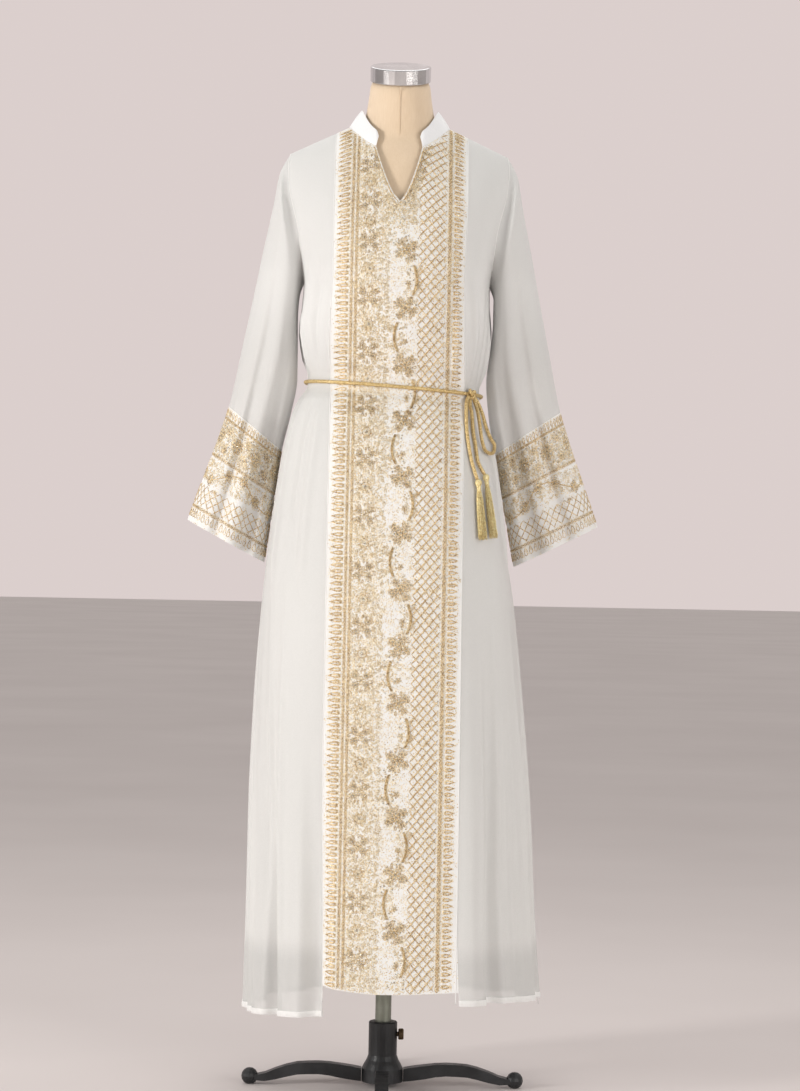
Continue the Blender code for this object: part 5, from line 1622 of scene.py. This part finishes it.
def make_belt():
    turn = np.linspace(KNOT_TURN + KNOT_GAP, KNOT_TURN + 360 - KNOT_GAP, 900)
    belt = twisted("belt", on_body(turn, np.full(900, WAIST), CORD_R + CORD_GAP))
    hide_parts("belt_cord")
    make_knot()
    tassels = {side: make_tassel(side) for side in ("left", "right")}
    for side, route in (("left", TAIL_LEFT), ("right", TAIL_RIGHT)):
        path = tail_points(route, side)
        tail = twisted("tail_" + side, even_line(path, CORD_POINTS))
        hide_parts("belt_tail_" + side)
        declare_cord(path)
    loop = even_line([*knot_exit("loop_start"), *on_skirt(LOOP), *knot_exit("loop_end")[::-1]], 22)
    bow = twisted("bow_loop", even_line(loop, CORD_POINTS))
    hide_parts("belt_loop")
    declare_cord(loop)


def declare_cord(path):
    path = np.asarray(path, float)


def make_knot():
    """Turns of the cord drawn tight round themselves."""
    centre, axes = knot_frame()
    t = np.linspace(0, 2 * math.pi, 160)
    reach = 2 + np.cos(3 * t)
    weave = np.stack([reach * np.cos(2 * t), reach * np.sin(2 * t), np.sin(3 * t) * 1.25], axis=-1)
    half_size = np.array([KNOT_SIZE[0] - 0.0026, KNOT_SIZE[2] - 0.0026, KNOT_SIZE[1] - 0.0028])
    size = half_size / np.array([3, 3, 1.25])
    knot = twisted("knot", centre + (weave * size) @ axes, radius=0.0027, step=0.0006)
    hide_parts("belt_knot")


# A tassel's head: how far along it from the end of the cord, and its radius there
TASSEL_HEAD_SHAPE = (
    (-0.0062, 0.0012), (-0.0052, 0.0040), (-0.0020, 0.0060), (0.0015, 0.0059), (0.0050, 0.0042),
    (0.0064, 0.0036), (0.0072, 0.0043), (0.0084, 0.0036), (0.0096, 0.0043), (0.0108, 0.0036), (0.0150, 0.0040),
)
# How far the skirt of strands has swollen, by the share of its length
TASSEL_SWELL = {"s": np.array([0, 0.25, 0.7, 1.0]), "r": np.array([0, 0.55, 0.9, 1.0])}


def make_tassel(side):
    """A bound head over a skirt of crimped strands, which lie flattened on the cloth."""
    rng = np.random.default_rng(11 if side == "left" else 12)
    head, foot = (np.array(at_front(*end)) for end in TASSELS[side])
    down = unit(foot - head)
    x, level = (np.array(value) for value in TASSELS[side][1][:2])
    out = body_normal(turn_at(x, level), level)
    across = unit(np.cross(down, out))
    ahead = np.cross(across, down)
    length = np.linalg.norm(foot - head)
    parts = []
    turns = np.linspace(0, 2 * math.pi, 17)[:-1]
    round_head = across * np.cos(turns)[:, None] + ahead * np.sin(turns)[:, None] * 0.85
    rings = [head + down * along + round_head * radius for along, radius in TASSEL_HEAD_SHAPE]
    index = np.arange(len(rings) * 16).reshape(len(rings), 16)
    ends = [[tuple(index[0][::-1])], [tuple(index[-1])]]
    parts.append((np.concatenate(rings), [grid_faces(index, wrap=True), *ends]))
    share = np.linspace(0, 1, 15)
    for k in range(TASSEL_STRANDS):
        angle = 2 * math.pi * (k * 0.618034 % 1)
        depth = math.sqrt((k + 0.5) / TASSEL_STRANDS)
        swell = depth * (0.0036 + 0.0052 * smooth(TASSEL_SWELL, "r", share))
        sway = 0.0006 * np.sin(share * (26 + 8 * rng.random()) + rng.random() * 6.28) * share
        reach = 0.010 + (length * (0.93 + 0.07 * rng.random()) - 0.010) * share
        aside = across * (np.cos(angle) * swell + sway)[:, None]
        lies = aside + ahead * (np.sin(angle) * swell * 0.62)[:, None]
        line = head + down * reach[:, None] + lies
        parts.append(tube(line, np.tile(across, (15, 1)) * 0.00042, np.tile(ahead, (15, 1)) * 0.00042, 3))
    tassel = piece("tassel_" + side + "_threads", *joined(parts), "tassel")
    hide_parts("tassel_" + side)
    return tassel


# Seams and hems


def raised_seams(name, lines, half_width, height, finish):
    """Rounded ridges along lines given as points and the directions that they stand up in."""
    parts = []
    for points, normals in lines:
        run = unit(np.gradient(points, axis=0))
        side = unit(np.cross(normals, run))
        parts.append(tube(points, side * half_width, unit(normals) * height, 6))
    return piece(name, *joined(parts), finish)


def line_on_body(turn, level, out=0.0):
    turn, level = np.broadcast_arrays(np.asarray(turn, float), np.asarray(level, float))
    normal = body_normal(turn, level)
    return body_point(turn, level) + normal * out, normal


def make_seams():
    """Ridges where pieces are sewn together: beside the panel, at the sides and round the armholes."""
    up = np.linspace(0.165, RIDGE - 0.002, 240)
    lines = [line_on_body(turn_at(x, up), up) for x in (PANEL_LEFT, PANEL_RIGHT)]
    side = np.linspace(0.14, ARMPIT - 0.002, 160)
    lines += [line_on_body(np.full(160, turn), side) for turn in (-90.0, 90.0)]
    for sign in (-1, 1):
        around = np.linspace(4, 176, 70)
        for part in (around, -around):
            lines.append(armhole_point(part, sign))
    seams = raised_seams("seams", lines, 0.0010, 0.0006, "hem")
    return seams


HEM_BAND = 0.0085
HEM_THICK = 0.0026


def make_hem(name, turn, hem):
    """The turned-up edge along the foot of a panel, a little thicker than the cloth."""
    share = np.linspace(0, 1, 4)[:, None]
    level = hem - 0.0006 + (HEM_BAND + 0.0006) * share
    turns = np.repeat(turn[None], 4, axis=0)
    points, normal = body_point(turns, level), body_normal(turns, level)
    fullness = 0.0006 * np.sin(share * math.pi)[..., None]
    outside, inside = points + normal * (0.0005 + fullness), points - normal * HEM_THICK
    index = np.arange(level.size).reshape(level.shape)
    band = wall(name, outside.reshape(-1, 3), inside.reshape(-1, 3), grid_faces(index), "hem")
    return band


# Form and stand


def torso_points(columns, levels):
    turn, level = np.meshgrid(np.linspace(0, 360, columns + 1)[:-1], levels)
    lift = lift_of(level)
    across, ahead = rounded(turn)
    side = smooth(FORM, "side", level)
    front = smooth(FORM, "front", level) * dome(lift, CHEST_ROUND)
    back = smooth(FORM, "back", level) * dome(lift, BACK_ROUND)
    x = side * across
    y = -np.where(ahead > 0, front, back) * ahead
    z = np.where(lift > 0, ARMPIT + (shoulder_z(x) - FORM_EASE - ARMPIT) * lift, level)
    return np.stack([x, y, z], axis=-1), turn.shape


def neck_point(angle, row):
    """A point of the neck's skin. angle is in degrees from its front, row counts rings up it."""
    rows = dict(zip(("row", *NECK), (np.arange(len(NECK["z"])), *NECK.values())))
    z, y, side, depth, tilt = (smooth(rows, name, row) for name in ("z", "y", "side", "depth", "tilt"))
    lean = np.radians(tilt)
    ahead = -depth * np.cos(np.radians(angle))
    x = side * np.sin(np.radians(angle))
    return np.stack([x, y + ahead * np.cos(lean), z + ahead * np.sin(lean)], axis=-1)


FORM_VOXEL = 0.0066
NECK_TOP_ROW = 4


def make_torso():
    """The padded torso and its neck, run into each other and covered with one skin."""
    levels = np.concatenate([np.linspace(0.862, ARMPIT, 24), level_of(upper_lifts()[1:])])
    body, shape = torso_points(72, levels)
    index = np.arange(shape[0] * shape[1]).reshape(shape)
    parts = [(body.reshape(-1, 3), [grid_faces(index, wrap=True), [tuple(index[0][::-1])]])]
    angle, row = np.meshgrid(np.linspace(0, 360, 65)[:-1], np.linspace(0, NECK_TOP_ROW, 17))
    index = np.arange(row.size).reshape(row.shape)
    skin = [grid_faces(index, wrap=True), [tuple(index[0][::-1])], [tuple(index[-1])]]
    parts.append((neck_point(angle, row).reshape(-1, 3), skin))
    torso = piece("torso_cover", *joined(parts), "linen")
    remesh = torso.modifiers.new("skin", "REMESH")
    remesh.mode = "VOXEL"
    remesh.voxel_size = FORM_VOXEL
    remesh.use_smooth_shade = True
    relaxed = torso.modifiers.new("relaxed", "SMOOTH")
    relaxed.factor = 0.5
    relaxed.iterations = 6
    return torso


def make_form():
    torso = make_torso()
    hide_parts("form_torso")
    rows = np.linspace(0.5, NECK_TOP_ROW - 0.05, 40)
    line = neck_point(np.zeros(40), rows) - (0, 0.0002, 0)
    seam = raised_seams("neck_seam", [(line, np.tile([0.0, -1.0, 0.15], (40, 1)))], 0.0008, 0.0006, "linen")


def dress_nodes():
    """Finishes for the rigid solids that show as they are."""
    finishes = {"neck_cap": "chrome", "pole": "pole", "stand_hub": "iron", "clamp_screw": "brass"}
    for side in ("right", "back", "left", "front"):
        finishes["leg_" + side] = "iron"
    for node, finish in finishes.items():
        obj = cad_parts[node]
        for slot in obj.material_slots:
            slot.material = MATERIALS[finish]


# Putting it together


def laid(name, work):
    """Lays a drawing's threads and beads as one piece for each kind."""
    made = []
    for kind, finish in (("gold", "gold"), ("curls", "pale_gold"), ("pale_gold", "pale_gold")):
        made.append(piece(f"{name}_{kind}", *work.threads_of(kind), finish))
    sequins = work.dots_of("sequin", 5, 0.8, 0.7)
    made.append(piece(f"{name}_sequins", *sequins, "pale_gold", smooth_shade=False))
    stones = work.dots_of("stone", 6, 0.8, 0.62)
    made.append(piece(f"{name}_stones", *stones, "stone", smooth_shade=False))
    return made


def make_robe():
    panel = make_front_panel()
    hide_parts("front_panel")
    work = Needlework(panel_surface, on_panel)
    draw_panel(work)
    threads = laid("panel", work)
    for side, sign in (("left", -1), ("right", 1)):
        turn, level = side_grid(sign)
        front = body_wall("front_" + side + "_cloth", turn, level, CHIFFON, "chiffon")
        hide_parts("front_" + side)
        hem = make_hem("front_" + side + "_hem", turn[0], level[0])
    turn, level = back_grid()
    back = body_wall("back_cloth", turn, level, CHIFFON, "chiffon")
    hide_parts("back_panel")
    hem = make_hem("back_hem", turn[0], level[0])
    lining = make_lining()
    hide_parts(*LINING_NODES)
    collar = make_collar()
    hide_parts("collar")
    make_sleeves()
    make_seams()


def make_sleeves():
    for side, sign in (("left", -1), ("right", 1)):
        lower_rows = np.linspace(SLEEVE_BLEND, CUFF_START, 48)[1:]
        rows = np.concatenate([np.linspace(0, SLEEVE_BLEND, 20), lower_rows])
        sleeve = sleeve_wall(f"sleeve_{side}_cloth", rows, sign, CHIFFON, "sleeve_chiffon")
        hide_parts("sleeve_" + side)
        rows = np.linspace(CUFF_START, SLEEVE_END, 18)
        cuff = sleeve_wall(f"cuff_{side}_cloth", rows, sign, BAND, "cuff_ground")
        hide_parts("cuff_" + side)
        surface, girth = cuff_surface_of(sign)
        work = Needlework(surface, within_cuff)
        draw_cuff(work, girth, 21 if sign < 0 else 22)
        threads = laid("cuff_" + side, work)


# Camera, light and ground

LENS = 36 * 2939 / 1091
CAMERA_AT = (0.0132, -4.85, 0.892)
CAMERA_ROLL = 1.07


def make_camera():
    data = bpy.data.cameras.new("camera")
    data.sensor_fit = "AUTO"
    data.sensor_width = 36
    data.lens = LENS
    camera = bpy.data.objects.new("camera", data)
    bpy.context.scene.collection.objects.link(camera)
    look = Matrix.Rotation(math.pi / 2, 4, "X") @ Matrix.Rotation(math.radians(CAMERA_ROLL), 4, "Z")
    camera.matrix_world = Matrix.Translation(CAMERA_AT) @ look
    bpy.context.scene.camera = camera


def area_light(name, at, towards, size, watts, colour=(1, 1, 1)):
    data = bpy.data.lights.new(name, "AREA")
    data.shape = "RECTANGLE"
    data.size, data.size_y = size
    data.energy = watts
    data.color = colour
    lamp = bpy.data.objects.new(name, data)
    bpy.context.scene.collection.objects.link(lamp)
    way = Vector(towards) - Vector(at)
    lamp.matrix_world = Matrix.Translation(at) @ way.to_track_quat("-Z", "Y").to_matrix().to_4x4()


ROOM_TINT = (1.0, 0.98, 0.95)
BACKDROP = (0.71, 0.625, 0.61)
BACKDROP_SPAN = (0.36, 0.64)
# Brightness round the horizon, from behind the camera's right round to it again. The backdrop is
# at 0.5. The narrow dark part is for the metal to reflect.
SKY_BANDS = (
    (0.0, 0.42), (0.10, 0.44), (0.16, 0.26), (0.24, 0.46), (0.38, 0.70), (0.62, 0.70),
    (0.76, 0.50), (0.84, 0.38), (0.885, 0.08), (0.945, 0.08), (0.985, 0.42),
)
ZENITH = 0.62
FLOOR_REACH = 40  # half its width
FLOOR_SHADES = ((0.3, (0.66, 0.60, 0.585)), (0.7, (0.71, 0.65, 0.635)))


def make_sky():
    """A pale room, brightest behind the object and overhead."""
    world = bpy.data.worlds.new("studio")
    bpy.context.scene.world = world
    world.use_nodes = True
    nodes, links = world.node_tree.nodes, world.node_tree.links
    place = nodes.new("ShaderNodeTexCoord")
    split = nodes.new("ShaderNodeSeparateXYZ")
    links.new(place.outputs["Generated"], split.inputs[0])
    turn = nodes.new("ShaderNodeMath")
    turn.operation = "ARCTAN2"
    links.new(split.outputs["X"], turn.inputs[0])
    links.new(split.outputs["Y"], turn.inputs[1])
    share = nodes.new("ShaderNodeMapRange")
    share.inputs["From Min"].default_value = -math.pi
    share.inputs["From Max"].default_value = math.pi
    links.new(turn.outputs[0], share.inputs["Value"])
    bands = nodes.new("ShaderNodeValToRGB")
    links.new(share.outputs[0], bands.inputs[0])
    points = bands.color_ramp.elements
    while len(points) < len(SKY_BANDS):
        points.new(0.5)
    for point, (at, grey) in zip(points, SKY_BANDS):
        point.position = at
        on_backdrop = BACKDROP_SPAN[0] < at < BACKDROP_SPAN[1]
        point.color = (*BACKDROP, 1) if on_backdrop else (*(grey * part for part in ROOM_TINT), 1)
    raised = nodes.new("ShaderNodeMapRange")
    raised.interpolation_type = "SMOOTHSTEP"
    raised.inputs["From Min"].default_value = 0.35
    raised.inputs["From Max"].default_value = 0.85
    links.new(split.outputs["Z"], raised.inputs["Value"])
    mixed = nodes.new("ShaderNodeMix")
    mixed.data_type = "RGBA"
    links.new(raised.outputs[0], mixed.inputs[0])
    links.new(bands.outputs["Color"], mixed.inputs[6])
    mixed.inputs[7].default_value = (*(ZENITH * part for part in ROOM_TINT), 1)
    links.new(mixed.outputs[2], nodes["Background"].inputs["Color"])


def make_studio():
    bpy.context.scene.view_settings.view_transform = "Standard"
    make_sky()
    area_light("key", (-4.1, -2.5, 1.6), (0, 0, 0.85), (0.8, 1.6), 148, (1.0, 0.985, 0.96))
    area_light("fill", (2.6, -3.0, 1.5), (0, 0, 0.9), (2.2, 2.4), 66, (1.0, 0.98, 0.95))
    area_light("top", (0.2, 0.9, 3.3), (0, 0, 1.0), (2.4, 1.8), 20)
    ground = bpy.data.meshes.new("ground")
    corners = [(FLOOR_REACH * x, FLOOR_REACH * y, 0) for x, y in ((-1, -1), (1, -1), (1, 1), (-1, 1))]
    ground.from_pydata(corners, [], [(0, 1, 2, 3)])
    floor_finish = Shading("floor", 0.7)
    cloudy = floor_finish.noise((0.8, 0.8, 0.8), 3.0)
    floor_finish.set("Base Color", floor_finish.ramp(cloudy, *FLOOR_SHADES))
    ground.materials.append(floor_finish.material)
    floor = bpy.data.objects.new("ground", ground)
    bpy.context.scene.collection.objects.link(floor)


def main():
    make_camera()
    make_belt()
    make_robe()
    make_form()
    dress_nodes()
    make_studio()


main()
